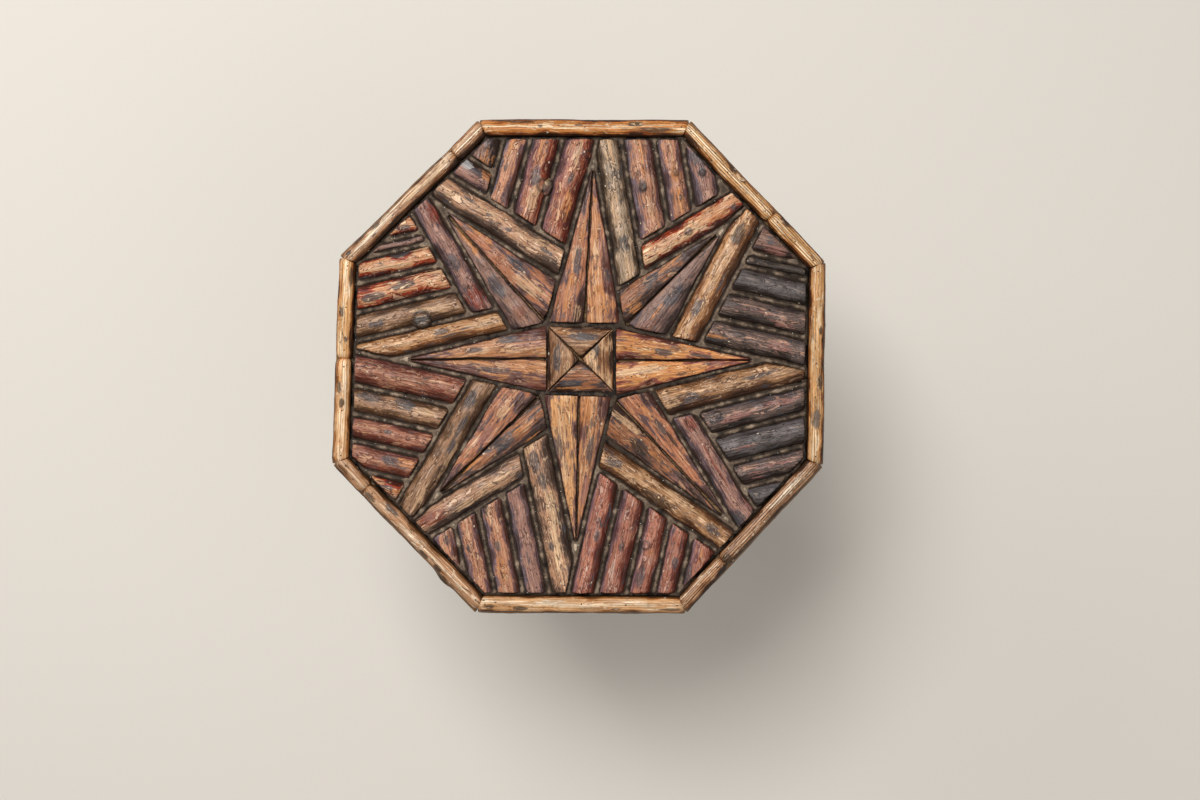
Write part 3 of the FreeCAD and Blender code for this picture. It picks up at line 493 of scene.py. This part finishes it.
# Kinds of relief on bark and the detail of their noises, and the sizes that each kind has
RELIEFS = {"Ridge": 3, "Lump": 1, "Tear": 2}
RELIEF_SIZES = ("depth", "length", "width")
relief, taken = new_tree("bark relief", [kind + " " + size for kind in RELIEFS for size in RELIEF_SIZES])
grain = add(relief, "GeometryNodeInputNamedAttribute", {"Name": "grain"}, data_type="FLOAT_VECTOR")
weight = add(relief, "GeometryNodeInputNamedAttribute", {"Name": "relief"}, data_type="FLOAT")
height = 0
for kind, detail in RELIEFS.items():
    width = taken[kind + " width"]
    size = add(relief, "ShaderNodeCombineXYZ", (taken[kind + " length"], width, width))
    spread = add(relief, "ShaderNodeVectorMath", (grain, size), operation="DIVIDE")
    noise = add(relief, NOISE, {"Vector": spread, "Scale": 1, "Detail": detail})
    centred = add(relief, MATH, (noise, 0.5), operation="SUBTRACT")
    height = add(relief, MATH, (centred, taken[kind + " depth"], height), operation="MULTIPLY_ADD")
weighted = add(relief, MATH, (height, weight), operation="MULTIPLY")
outward = add(relief, "GeometryNodeInputNormal")
shift = add(relief, "ShaderNodeVectorMath", {0: outward, "Scale": weighted}, operation="SCALE")
moved = add(relief, "GeometryNodeSetPosition", {"Geometry": taken["Geometry"], "Offset": shift})
smooth = add(relief, "GeometryNodeSetShadeSmooth", {0: moved, "Shade Smooth": True})
end_tree(relief, smooth, taken["Material"])

brads, taken = new_tree("brad heads", ("Head radius", "Head rise"))
lean = add(brads, "GeometryNodeInputNamedAttribute", {"Name": "lean"}, data_type="FLOAT_VECTOR")
turn = add(brads, "FunctionNodeAlignRotationToVector", {"Vector": lean}, axis="Z")
dome = add(brads, "GeometryNodeMeshUVSphere", {"Segments": 8, "Rings": 5, "Radius": 1})
scale = add(brads, "ShaderNodeCombineXYZ", (taken["Head radius"], taken["Head radius"], taken["Head rise"]))
heads = add(brads, "GeometryNodeInstanceOnPoints", {
    "Points": taken["Geometry"], "Instance": dome, "Rotation": turn, "Scale": scale})
end_tree(brads, heads, taken["Material"])

crumbs, taken = new_tree("groove crumbs", ("Density", "Seed", "Least radius", "Most radius"))
ridge = add(crumbs, "GeometryNodeInputNamedAttribute", {"Name": "crest"}, data_type="FLOAT")
on_top = add(crumbs, MATH, (ridge, 0.35), operation="GREATER_THAN")
spots = add(crumbs, "GeometryNodeDistributePointsOnFaces", {
    "Mesh": taken["Geometry"], "Selection": on_top, "Density": taken["Density"], "Seed": taken["Seed"]},
    None).outputs
crumb = add(crumbs, "GeometryNodeMeshIcoSphere", {"Radius": 1, "Subdivisions": 1})
radius = add(crumbs, "FunctionNodeRandomValue", {
    2: taken["Least radius"], 3: taken["Most radius"], "Seed": taken["Seed"]}, 1, data_type="FLOAT")
grains = add(crumbs, "GeometryNodeInstanceOnPoints", {
    "Points": spots["Points"], "Instance": crumb, "Rotation": spots["Rotation"], "Scale": radius})
end_tree(crumbs, grains, taken["Material"])


def run_tree(name, mesh, tree, values):
    """A new plain mesh object from a mesh put through a tree with these named inputs."""
    carrier = bpy.data.objects.new(name + "_carrier", mesh)
    scene.collection.objects.link(carrier)
    modifier = carrier.modifiers.new("tree", "NODES")
    modifier.node_group = tree
    for item in tree.interface.items_tree:
        if item.item_type == "SOCKET" and item.in_out == "INPUT" and item.name in values:
            modifier[item.identifier] = values[item.name]
    bpy.context.view_layer.update()
    plain = bpy.data.meshes.new_from_object(carrier.evaluated_get(bpy.context.evaluated_depsgraph_get()))
    bpy.data.objects.remove(carrier)
    plain.name = name
    piece = bpy.data.objects.new(name, plain)
    scene.collection.objects.link(piece)
    return piece


def relief_values(rows, material):
    """Inputs of the relief tree, from the depth, length and width in millimetres of each kind of relief."""
    values = {"Material": material}
    for kind, row in zip(RELIEFS, rows):
        values.update({kind + " " + size: value * MM for size, value in zip(RELIEF_SIZES, row)})
    return values


# Solids and skins
def read(items, field, width, kind=float):
    """One field of a mesh's vertices, loops or triangles, as rows of this many values."""
    values = np.empty(len(items) * width, dtype=kind)
    items.foreach_get(field, values)
    return values.reshape(-1, width)


def loose_solids(name):
    """The separate solids of a CAD node, with merged corners: a list of corners and triangles."""
    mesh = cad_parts[name].data
    mesh.calc_loop_triangles()
    corners = np.round(read(mesh.vertices, "co", 3), 6)
    merged, inverse = np.unique(corners, axis=0, return_inverse=True)
    triangles = inverse.ravel()[read(mesh.loop_triangles, "vertices", 3, np.int32)]
    label = np.arange(len(merged))
    while True:
        lowest = label.copy()
        np.minimum.at(lowest, triangles.ravel(), np.repeat(label[triangles].min(axis=1), 3))
        lowest = lowest[lowest]
        if (lowest == label).all():
            break
        label = lowest
    solids = []
    for root in np.unique(label):
        kept = np.flatnonzero(label == root)
        index = np.full(len(merged), -1)
        index[kept] = np.arange(len(kept))
        solids.append((merged[kept], index[triangles[label[triangles[:, 0]] == root]]))
    return solids


# Rings of a stump from the middle of its top down into its twig: share of its size, and drop in millimetres
STUMP_RINGS = ((0.0, 1), (0.8, 0), (1.0, 2), (1.15, 14), (0.0, 14))
STUMP_SIDES = 24


def stump(x, y, top, half_length, half_width, turn):
    """A short tapered stump as a closed solid: corners and triangles."""
    first = np.arange(STUMP_SIDES)
    after = (first + 1) % STUMP_SIDES
    below, below_after = first + STUMP_SIDES, after + STUMP_SIDES
    band = np.concatenate((
        np.stack((first, below, below_after), axis=1), np.stack((first, below_after, after), axis=1)))
    triangles = [band + ring * STUMP_SIDES for ring in range(len(STUMP_RINGS) - 1)]
    angle = first / STUMP_SIDES * math.tau
    cos, sin = math.cos(math.radians(turn)), math.sin(math.radians(turn))
    rings = []
    for share, drop in STUMP_RINGS:
        long, wide = np.cos(angle) * half_length * share, np.sin(angle) * half_width * share
        level = np.full(STUMP_SIDES, top - drop)
        rings.append(np.stack((x + long * cos - wide * sin, y + long * sin + wide * cos, level), axis=1))
    return np.concatenate(rings) * MM, np.concatenate(triangles)


def grain_axis(corners, triangles, upward):
    """The direction that the surface normals avoid: the length of a twig."""
    a, b, c = (corners[triangles[:, i]] for i in range(3))
    normal = np.cross(b - a, c - a)
    area = np.linalg.norm(normal, axis=1)
    unit = normal / np.maximum(area, 1e-12)[:, None]
    if upward:
        # On a piece of the top only the crown counts
        area = np.where(unit[:, 2] > 0.5, area, 0)
    spread = (unit * area[:, None]).T @ unit
    return np.linalg.eigh(spread)[1][:, 0]


def skin(corners, triangles, cell, rounds):
    """A fine even skin over a solid: corners, four-sided faces and normals."""
    mesh = bpy.data.meshes.new("solid")
    mesh.from_pydata(corners.tolist(), [], triangles.tolist())
    solid = bpy.data.objects.new("solid", mesh)
    scene.collection.objects.link(solid)
    cells = solid.modifiers.new("cells", "REMESH")
    cells.mode = "VOXEL"
    cells.voxel_size = cell
    worn = solid.modifiers.new("worn", "SMOOTH")
    worn.factor = 0.5
    worn.iterations = rounds
    bpy.context.view_layer.update()
    fine = bpy.data.meshes.new_from_object(solid.evaluated_get(bpy.context.evaluated_depsgraph_get()))
    bpy.data.objects.remove(solid)
    bpy.data.meshes.remove(mesh)
    points, normals = read(fine.vertices, "co", 3), read(fine.vertices, "normal", 3)
    faces = read(fine.loops, "vertex_index", 1, np.int32).reshape(-1, 4)
    bpy.data.meshes.remove(fine)
    return points, faces, normals


def wander(along, chance, waves):
    """A smooth random line along a twig: sums waves of given length and height in millimetres."""
    total = np.zeros_like(along)
    for wave, rise in waves:
        length = wave * MM * chance.uniform(0.8, 1.25)
        total += rise * MM * np.sin(along / length * math.tau + chance.uniform(0, math.tau))
    return total


# Kind and field of the point attributes that are no plain number
ATTRIBUTE_KINDS = {layer: ("FLOAT_COLOR", "color") for layer in LAYERS + ("mark",)}
ATTRIBUTE_KINDS["grain"] = ("FLOAT_VECTOR", "vector")


def mesh_from(name, points, faces, values):
    """A mesh with its point attributes."""
    mesh = bpy.data.meshes.new(name)
    mesh.vertices.add(len(points))
    mesh.vertices.foreach_set("co", points.astype(np.float32).ravel())
    mesh.loops.add(faces.size)
    mesh.loops.foreach_set("vertex_index", faces.astype(np.int32).ravel())
    mesh.polygons.add(len(faces))
    mesh.polygons.foreach_set("loop_start", np.arange(0, faces.size, faces.shape[1], dtype=np.int32))
    mesh.update(calc_edges=True)
    for label, value in values.items():
        kind, field = ATTRIBUTE_KINDS.get(label, ("FLOAT", "value"))
        attribute = mesh.attributes.new(label, kind, "POINT")
        attribute.data.foreach_set(field, np.ascontiguousarray(value, dtype=np.float32).ravel())
    return mesh


# Twigs
def ramp_up(value, start, reach):
    """0 up to a start, then rising to 1 over a reach."""
    return np.clip((value - start) / reach, 0, 1)


def bell(value, width=1):
    """A bell curve that is 1 at 0."""
    return np.exp(-(value / width) ** 2)


def box_middle(corners):
    """The middle of the box round some corners."""
    return (corners.min(axis=0) + corners.max(axis=0)) / 2


def fit_to_solid(twig, corners, look):
    """Spread a skin to the reach of its solid again, because smoothing draws its ends and sides in."""
    for way in (twig.axis, twig.side):
        value, reach = (twig.place - twig.centre) @ way, (corners - twig.centre) @ way
        full = np.interp(value, (value.min(), value.max()), (reach.min(), reach.max()))
        if way is twig.side:
            outer = np.sign(twig.centre @ way)
            hang = look["overhang"] * np.clip(outer * full / reach.max(), 0, 1)
            full = full + outer * (look["shift"] + hang) * MM
        twig.place += way * (full - value)[:, None]


def let_out(twig, middle, look):
    """Let the pieces of the star out toward their neighbours and the centre, so that they sit close."""
    width, foot = 5 * MM, 0.75
    outer = np.sign((twig.centre - middle) @ twig.side)
    sideways = outer * ramp_up(outer * twig.across, 0, width)
    inward = ramp_up(-twig.along / twig.along.max(), foot, 1 - foot)
    twig.place += (twig.side * sideways[:, None] - twig.axis * inward[:, None]) * look["spread"] * MM
    twig.place[:, :2] += (twig.place[:, :2] - STAR_CENTRE) * look["splay"]


def cut_twig(corners, triangles, middle, look):
    """The skin of one solid, with its directions along the grain, across it and out of it."""
    twig = SimpleNamespace(centre=box_middle(corners))
    if "axis" in look:
        axis = np.array(look["axis"], float)
    else:
        axis = grain_axis(corners, triangles, look["upward"])
    # The grain of a lying piece points away from the middle of the table, and that of a leg up
    outward = twig.centre * (1, 1, 0) + (0, 0, 0.2)
    if axis @ outward < 0:
        axis = -axis
    standing = abs(axis[2]) >= 0.8
    side = np.cross((1.0, 0, 0) if standing else (0, 0, 1.0), axis)
    side /= np.linalg.norm(side)
    twig.axis, twig.side, twig.rise = axis, side, np.cross(axis, side)
    twig.place, twig.quads, twig.normal = skin(corners, triangles, look["cell"] * MM, look["rounds"])
    if look["upward"]:
        fit_to_solid(twig, corners, look)
    offset = twig.place - twig.centre
    twig.along, twig.across, twig.up = offset @ axis, offset @ side, offset @ twig.rise
    twig.end = np.minimum(twig.along - twig.along.min(), twig.along.max() - twig.along)
    twig.lift = (twig.up - twig.up.min()) / (twig.up.max() - twig.up.min())
    if look["upward"]:
        let_out(twig, middle, look)
    return twig


# Half width at which the girth of a twig swells by what its look says
GIRTH_AT = 10 * MM


def let_wander(twig, chance, look):
    """Let a twig sway, swell and heave along its length, as it grew."""
    sway, girth, heave = (wander(twig.along, chance, look[way]) for way in ("sway", "girth", "heave"))
    if look["upward"]:
        # The flat side stays on the board
        heave = heave * ramp_up(twig.lift, 0.125, 0.625)
    twig.place += twig.side * (sway + twig.across / GIRTH_AT * girth)[:, None]
    twig.place += twig.rise * heave[:, None]


# How far from its ends a rim length is stretched, and the share of its width and height worn off there
STRETCH_REACH, END_WEAR = 4 * MM, 0.35


def round_ends(twig, stretch, blunt):
    """Stretch the ends of a rim length into its joints, and blunt their edges."""
    longer = np.sign(twig.along) * np.clip(1 - twig.end / STRETCH_REACH, 0, 1) * stretch * MM
    worn = END_WEAR * np.clip(1 - twig.end / (blunt * MM), 0, 1) ** 2
    high = twig.up - twig.up.min()
    twig.place += twig.axis * longer[:, None]
    twig.place -= twig.side * (twig.across * worn)[:, None] + twig.rise * (high * worn)[:, None]


# The pale strip of a crown is wear and painted highlight; it is shifted toward the light as painted light,
# and drifts to either side by chance and in waves
LIGHT_SIDE, LIGHT_DRIFT = (-0.6, 0.8, 0), 0.14
CHANCE_DRIFT, DRIFT_WAVES = 0.16, ((95, 0.14), (34, 0.1))
# Lengths from the ends over which the wear and the swell of a crown set in
WEAR_REACH, SWELL_REACH = 3 * MM, 6 * MM


def crown_wear_and_light(twig, chance, look):
    """Swell the back of a twig, and give its wear and painted light and shade: 1 along the back, 0 low on the
    sides and at the ends.
    """
    slope = twig.normal @ twig.side / look["steepest"]
    upward = twig.normal[:, 2]
    # Painted light: the pale strip is shifted toward the flank that faces the light
    drift = LIGHT_DRIFT * (twig.side @ LIGHT_SIDE) + chance.uniform(-CHANCE_DRIFT, CHANCE_DRIFT)
    drift = drift + wander(twig.along, chance, DRIFT_WAVES) / MM
    crest = np.clip(1 - np.abs(slope - drift) ** look["crown_power"], 0, 1)
    crest *= np.clip(0.1 + 4 * (1 - np.abs(slope)), 0, 1)
    crest *= np.clip(0.3 + twig.end / WEAR_REACH, 0, 1) * ramp_up(upward, 0.2, 0.3)
    crest *= 1 - look["dull_tip"] * np.clip(1.5 * twig.along / twig.along.max() - 0.3, 0, 1)
    swell = np.clip(1 - slope ** 2, 0, 1) * ramp_up(twig.end, 0, SWELL_REACH) * (upward > 0.3)
    twig.place[:, 2] += look["swell"] * MM * swell
    return crest


# Form of a knot in shares of its radius and rise: reach, hollow, dark ring, dark heart, and wear of its top
KNOT_REACH, KNOT_WEAR = 2.2, 0.7
HOLLOW, HOLLOW_WIDTH = 0.45, 0.42
RING, RING_WIDTH, RING_DARK = 0.75, 0.22, 0.75
HEART_WIDTH, HEART_DARK = 0.3, 0.4


def raise_knots(twig, crest):
    """Raise the knots on a twig as rings with a hollow, wear them, and give how dark they are."""
    knot = np.zeros(len(crest))
    for x, y, z, radius, rise in KNOTS:
        distance = np.linalg.norm(twig.place - np.array((x, y, z)) * MM, axis=1) / (radius * MM)
        near = distance < KNOT_REACH
        far = distance[near]
        bulge = bell(far) - HOLLOW * bell(far, HOLLOW_WIDTH)
        twig.place[near] += twig.normal[near] * (bulge * rise * MM)[:, None]
        dark = RING_DARK * bell(far - RING, RING_WIDTH) + HEART_DARK * bell(far, HEART_WIDTH)
        knot[near] = np.maximum(knot[near], dark)
        crest[near] = np.maximum(crest[near], KNOT_WEAR * bell(far))
    return np.clip(knot, 0, 1)


# How near a mark has to be to a twig to lie on it, and how far it runs over its reach along and across
MARK_NEAR = 2.5 * MM
MARK_RUN = (1.25, 0.8)


def marks_on(twig):
    """Colour and strength of the listed marks that lie on a twig."""
    tint = np.zeros((len(twig.place), 4))
    for kind, rows in MARKS.items():
        code, firm = MARK_KINDS[kind]
        colour = to_linear(code)
        for x, y, reach_along, reach_across in rows:
            if np.hypot(twig.place[:, 0] - x * MM, twig.place[:, 1] - y * MM).min() > MARK_NEAR:
                continue
            offset = np.array((x * MM, y * MM, twig.centre[2])) - twig.centre
            far = np.hypot(
                (twig.along - offset @ twig.axis) / (MARK_RUN[0] * reach_along * MM),
                (twig.across - offset @ twig.side) / (MARK_RUN[1] * reach_across * MM))
            # A faint mark fades out further than a firm one
            strength = firm * np.clip(1.9 - 0.6 * firm - far, 0, 1)
            better = strength > tint[:, 3]
            tint[better, :3] = colour[:3]
            tint[better, 3] = strength[better]
    return tint


def finish_of(name, centre, look):
    """The finish of a twig: that of the nearest place in the table, or else its node's or its kind's."""
    if name in TWIG_FINISHES:
        return min(TWIG_FINISHES[name], key=lambda row: math.dist(row[:2], centre[:2] / MM))[2]
    return NODE_FINISHES.get(name, look["finish"])


# Finishes that carry a painted lavender-grey sheen, a painted reflection of the light in the varnish, on the
# flank toward the upper left, and how strong it is
PAINTED_SHEEN = {
    "cherry": 0.45, "garnet": 0.4, "mauve": 0.7, "plum": 0.6, "rose": 0.5, "slate": 0.25, "graphite": 0.2,
    "dusk": 0.3,
}
# Colours of the painted sheen on the side and bark layers, and the way that its lit flank faces
PAINTED_SHEEN_TINTS = {"side": "#5A535C", "bark": "#8C8490"}
PAINTED_SHEEN_SIDE = (-0.85, 0.53, 0)
# Rim sides on which the dark lines of the grain are plainer or fainter than on the others
LINED = {"rim_twig_ne": 1.15, "rim_twig_se": 1.2, "rim_twig_s": 0.4, "rim_twig_nw": 0.6}
# How far each twig's grain is shifted at random in the noises, in metres
GRAIN_SHIFT = 0.9


def paint(name, twig, crest, knot, chance, look):
    """The point attributes of a twig: colours of its layers with a painted sheen, grain, marks and wear."""
    size = len(twig.place)
    finish = finish_of(name, twig.centre, look)
    *codes, rub = FINISHES[finish]
    shade = chance.uniform(0.92, 1.08)
    grain = np.stack((twig.along, twig.across, twig.up), axis=1) + chance.uniform(-1, 1, 3) * GRAIN_SHIFT
    values = {}
    for layer, code in zip(LAYERS, codes):
        values[layer] = np.tile(to_linear(code), (size, 1)) * (shade, shade, shade, 1)
    # Painted reflection: the flank facing the upper left is tinted toward lavender-grey
    painted_sheen = ramp_up(twig.normal @ PAINTED_SHEEN_SIDE, 0.125, 0.625) * PAINTED_SHEEN.get(finish, 0)
    for layer, code in PAINTED_SHEEN_TINTS.items():
        values[layer] += painted_sheen[:, None] * (to_linear(code) - values[layer])
    if look["upward"]:
        mark, depth = marks_on(twig), np.clip(twig.lift * 3, 0.1, 1)
    else:
        # The feet of the legs stay flat on the floor
        mark, depth = np.zeros((size, 4)), ramp_up(twig.place[:, 2], 2 * MM, 4 * MM)
    values.update({
        "grain": grain, "mark": mark, "crest": crest, "knot": knot, "relief": depth,
        "rub": np.full(size, rub), "lining": np.full(size, LINED.get(name, look["lining"])),
    })
    return values


brad_spots = []
# Shortest length that is nailed, and how far from its end a brad sits
NAILED_LENGTH = 45 * MM
BRAD_INSET = 9 * MM


def nail(twig, crest, shares):
    """Choose where brads go, at these shares of a twig's length on its back."""
    start, length = twig.along.min(), np.ptp(twig.along)
    if length < NAILED_LENGTH:
        return
    for share in shares:
        ahead = start + share * length
        if share in (0, 1):
            ahead += math.copysign(BRAD_INSET, 0.5 - share)
        # Places off the worn back count as far away
        off = np.abs(twig.along - ahead) + np.abs(twig.across - np.median(twig.across)) + (crest < 0.7)
        spot = np.argmin(off)
        brad_spots.append((twig.place[spot], twig.normal[spot]))


def dress(name, look):
    """One finished piece for a CAD node: fine skins of its solids with grain, colour and marks."""
    points, faces, rows = [], [], []
    count = 0
    solids = loose_solids(name)
    middle = np.mean([box_middle(corners) for corners, _ in solids], axis=0)
    for number, (corners, triangles) in enumerate(solids + [stump(*row) for row in STUMPS.get(name, ())]):
        chance = np.random.default_rng(sum(ord(c) for c in name) * 31 + number)
        twig = cut_twig(corners, triangles, middle, look)
        let_wander(twig, chance, look)
        if "ends" in look:
            round_ends(twig, *look["ends"])
        crest = crown_wear_and_light(twig, chance, look) if look["upward"] else np.ones(len(twig.place))
        knot = raise_knots(twig, crest)
        rows.append(paint(name, twig, crest, knot, chance, look))
        nail(twig, crest, look["brads"])
        twig.place[:, 2] = np.maximum(twig.place[:, 2], 0)
        points.append(twig.place)
        faces.append(twig.quads + count)
        count += len(twig.place)
    values = {key: np.concatenate([row[key] for row in rows]) for key in rows[0]}
    mesh = mesh_from(name + "_solid", np.concatenate(points), np.concatenate(faces), values)
    piece = run_tree(name + "_finished", mesh, relief, relief_values(look["relief"], look["material"]))
    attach(piece, "root")
    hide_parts(name)


# How each kind of CAD node is dressed, in millimetres: cell of the skin and rounds of smoothing, waves of
# sway, girth and heave as length and height, relief as depth, length and width of its ridges, lumps and
# tears, and brads as shares of the length. Pieces on the top face upward and have a crown.
TOP = {"upward": True, "shift": 0, "overhang": 0, "spread": 0, "splay": 0, "dull_tip": 0}
STAR = TOP | {
    "cell": 0.9, "rounds": 2, "steepest": 0.8, "crown_power": 2.2, "swell": 0.8, "sway": ((80, 0.2),),
    "girth": ((60, 0.2),), "material": split_wood, "slot": "star_wood",
}
POLE = {
    "upward": False, "lining": 0.3, "rounds": 3, "girth": (), "brads": (), "finish": "pole",
    "material": pole_bark, "slot": "pole_bark",
}
BOARD = {
    "upward": False, "lining": 0.6, "rounds": 1, "sway": (), "girth": (), "heave": (), "brads": (),
    "finish": "plank", "material": sawn_plank, "slot": "plank_wood",
}
RAIL = POLE | {
    "cell": 2.2, "sway": ((170, 0.6),), "heave": ((150, 0.6),),
    "relief": ((1.7, 36, 3.6), (2.0, 50, 14), (0.7, 12, 6)),
}
LOOKS = {
    "field_": TOP | {
        "lining": 0.2, "cell": 1.25, "rounds": 2, "steepest": 0.88, "crown_power": 1.55, "swell": 1.6,
        "sway": ((110, 0.3), (37, 0.15)), "girth": ((70, 0.2), (23, 0.15)), "heave": ((80, 0.5), (24, 0.25)),
        "relief": ((1.5, 34, 3.0), (1.4, 26, 9), (1.3, 7, 5)), "brads": (0, 1), "finish": "cherry",
        "material": varnished_bark, "slot": "field_bark",
    },
    "ray_": STAR | {
        "lining": 0.35, "spread": 1.2, "dull_tip": 0.3, "heave": ((70, 0.3), (22, 0.15)),
        "relief": ((0.7, 34, 2.0), (0.8, 30, 10), (0.6, 8, 4)), "brads": (0.12, 0.55), "finish": "toast",
    },
    "centre_chip_": STAR | {
        "lining": 0.2, "splay": 0.045, "heave": ((50, 0.2),),
        "relief": ((0.7, 30, 2.0), (0.8, 20, 10), (0.6, 8, 4)), "brads": (), "finish": "chip",
    },
    "rim_twig_": TOP | {
        "lining": 0.5, "cell": 1.25, "rounds": 4, "steepest": 1.0, "crown_power": 2.2, "swell": 0.0,
        "shift": 0.8, "overhang": 2.4, "ends": (1.0, 6), "sway": ((160, 0.25),),
        "girth": ((120, 0.2), (41, 0.12)), "heave": ((120, 0.4), (41, 0.3)),
        "relief": ((0.7, 60, 1.8), (0.6, 40, 10), (0.6, 9, 4)), "brads": (0, 0.5, 1), "finish": "peeled",
        "material": peeled_sapwood, "slot": "peeled_twig",
    },
    "edge_twig_": POLE | {
        "cell": 1.7, "sway": ((120, 0.4),), "heave": ((60, 0.3),), "finish": "edge",
        "relief": ((1.2, 26, 2.6), (1.6, 30, 10), (0.8, 9, 5)), "material": edge_bark, "slot": "edge_bark",
    },
    "leg_": POLE | {
        "cell": 2.4, "sway": ((300, 1.5), (110, 0.6)), "heave": ((260, 1.4), (97, 0.6)),
        "relief": ((2.2, 40, 4.2), (3.0, 60, 18), (0.8, 12, 6)),
    },
    "rail_": RAIL,
    "stretcher_": RAIL,
    "braces_": POLE | {
        "cell": 1.6, "sway": ((90, 0.4),), "heave": ((80, 0.4),),
        "relief": ((1.2, 30, 3.0), (1.4, 40, 10), (0.6, 10, 5)),
    },
    "plank_": BOARD | {"cell": 5, "axis": (1, 0, 0), "relief": ((0.5, 60, 7), (0.5, 90, 40), (0.0, 10, 5))},
    "batten_": BOARD | {"cell": 3, "axis": (0, 1, 0), "relief": ((0.6, 50, 6), (0.5, 80, 30), (0.0, 10, 5))},
}
for name in sorted(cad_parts):
    for start, look in LOOKS.items():
        if name.startswith(start):
            dress(name, look)

# Bedding: the CAD plate between the pieces, pressed under them and raised to a dusty ridge along the middle
# of each groove, lower toward the middle of the star. Dark pitch fills the mitres of the rim.
BED_CELL, BED_ROUNDS = 1.4 * MM, 3
RIDGE_REACH, RIDGE_RISE, BED_RISE, BED_PRESS = 2.6 * MM, 1.8 * MM, 1.2 * MM, 1.6 * MM
FULL_RIDGE_FROM, LEAST_RIDGE, RIDGE_ROUNDS = 140 * MM, 0.12, 4
PITCH_REACH, PITCH_RISE = 6 * MM, 5 * MM
(corners, triangles), = loose_solids("filler")
place, quads, normal = skin(corners, triangles, BED_CELL, BED_ROUNDS)
upward = normal[:, 2]
wall = np.flatnonzero(np.abs(upward) < 0.6)
walls = KDTree(len(wall))
for index, vertex in enumerate(wall):
    walls.insert(place[vertex], index)
walls.balance()
far = np.zeros(len(place))
for vertex in np.flatnonzero(upward > 0.6):
    far[vertex] = walls.find(place[vertex])[2]
# Distance from the walls: it raises the ridge, and the bedding material darkens the colour near the walls by
# it as painted shade
crest = ramp_up(far, 0, RIDGE_REACH)
crest *= np.clip(np.hypot(place[:, 0], place[:, 1]) / FULL_RIDGE_FROM, LEAST_RIDGE, 1)
shared = np.bincount(quads.ravel(), minlength=len(place))
for _ in range(RIDGE_ROUNDS):
    mean = crest[quads].mean(axis=1)
    crest = np.bincount(quads.ravel(), np.repeat(mean, 4), minlength=len(place)) / shared
place[:, :2] += normal[:, :2] * BED_PRESS * (np.abs(normal[:, 2:]) < 0.8)
place[:, 2] += (BED_RISE + RIDGE_RISE * crest) * (upward > -0.3)
for x, y in RIM_CORNERS:
    near = np.hypot(place[:, 0] - x * MM, place[:, 1] - y * MM) / PITCH_REACH
    place[:, 2] += PITCH_RISE * bell(near) * (upward > 0.3)
mesh = mesh_from("filler_solid", place, quads, {"grain": place, "crest": crest, "relief": crest})
bed_relief = relief_values(((1.0, 14, 14), (1.6, 40, 40), (0.6, 3, 3)), bedding)
groove_bedding = run_tree("groove_bedding", mesh, relief, bed_relief)
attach(groove_bedding, "root")
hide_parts("filler")

groove_crumbs = run_tree("groove_crumbs", groove_bedding.data.copy(), crumbs, {
    "Density": 4200.0, "Seed": 5, "Least radius": 0.25 * MM, "Most radius": 0.7 * MM, "Material": chalk})
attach(groove_crumbs, "root")

# Brads through the ends of the twigs
mesh = bpy.data.meshes.new("brad_spots")
mesh.from_pydata([spot.tolist() for spot, _ in brad_spots], [], [])
attribute = mesh.attributes.new("lean", "FLOAT_VECTOR", "POINT")
attribute.data.foreach_set("vector", np.array([lean for _, lean in brad_spots], dtype=np.float32).ravel())
brad_heads = run_tree("brad_heads", mesh, brads, {
    "Head radius": 0.9 * MM, "Head rise": 0.4 * MM, "Material": brad_steel})
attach(brad_heads, "root")

# Stage: plain pale floor, a large soft lamp from the upper left, two weaker ones and even fill from the world
mesh = bpy.data.meshes.new("floor")
mesh.from_pydata([(-4, -4, 0), (4, -4, 0), (4, 4, 0), (-4, 4, 0)], [], [(0, 1, 2, 3)])
floor = bpy.data.objects.new("floor", mesh)
scene.collection.objects.link(floor)
pale = bpy.data.materials.new("pale floor")
pale.use_nodes = True
surface = pale.node_tree.nodes["Principled BSDF"].inputs
surface["Base Color"].default_value = to_linear("#DDD6CC")
surface["Roughness"].default_value = 0.8
mesh.materials.append(pale)

# Lamps: place and size in metres and power in watts, all aimed at the upper part of the table
LAMPS = (
    ("key", (-0.8, 1.44, 4.6), 1.6, 146), ("side", (-1.5, 1.2, 1.9), 1.2, 14),
    ("fill", (1.4, -1.0, 2.4), 1.8, 9),
)
LAMP_AIM = np.array((0, 0, 0.5))
for label, spot, size, power in LAMPS:
    lamp = bpy.data.lights.new(label, "AREA")
    lamp.energy = power
    lamp.size = size
    holder = bpy.data.objects.new(label, lamp)
    holder.location = spot
    x, y, z = LAMP_AIM - np.array(spot)
    holder.rotation_euler = (math.atan2(math.hypot(x, y), -z), 0, math.atan2(y, x) - math.pi / 2)
    scene.collection.objects.link(holder)
world = bpy.data.worlds.new("studio")
scene.world = world
world.use_nodes = True
sky = world.node_tree.nodes["Background"].inputs
sky["Color"].default_value = to_linear("#F2F1EE")
sky["Strength"].default_value = 0.36
scene.view_settings.view_transform = "Standard"

# Camera straight above the top, as the photograph is taken
camera = bpy.data.cameras.new("camera")
camera.lens = 53.3
camera.sensor_width = 36
viewer = bpy.data.objects.new("camera", camera)
viewer.location = (0.0239, -0.0378, 2.6)
scene.collection.objects.link(viewer)
scene.camera = viewer
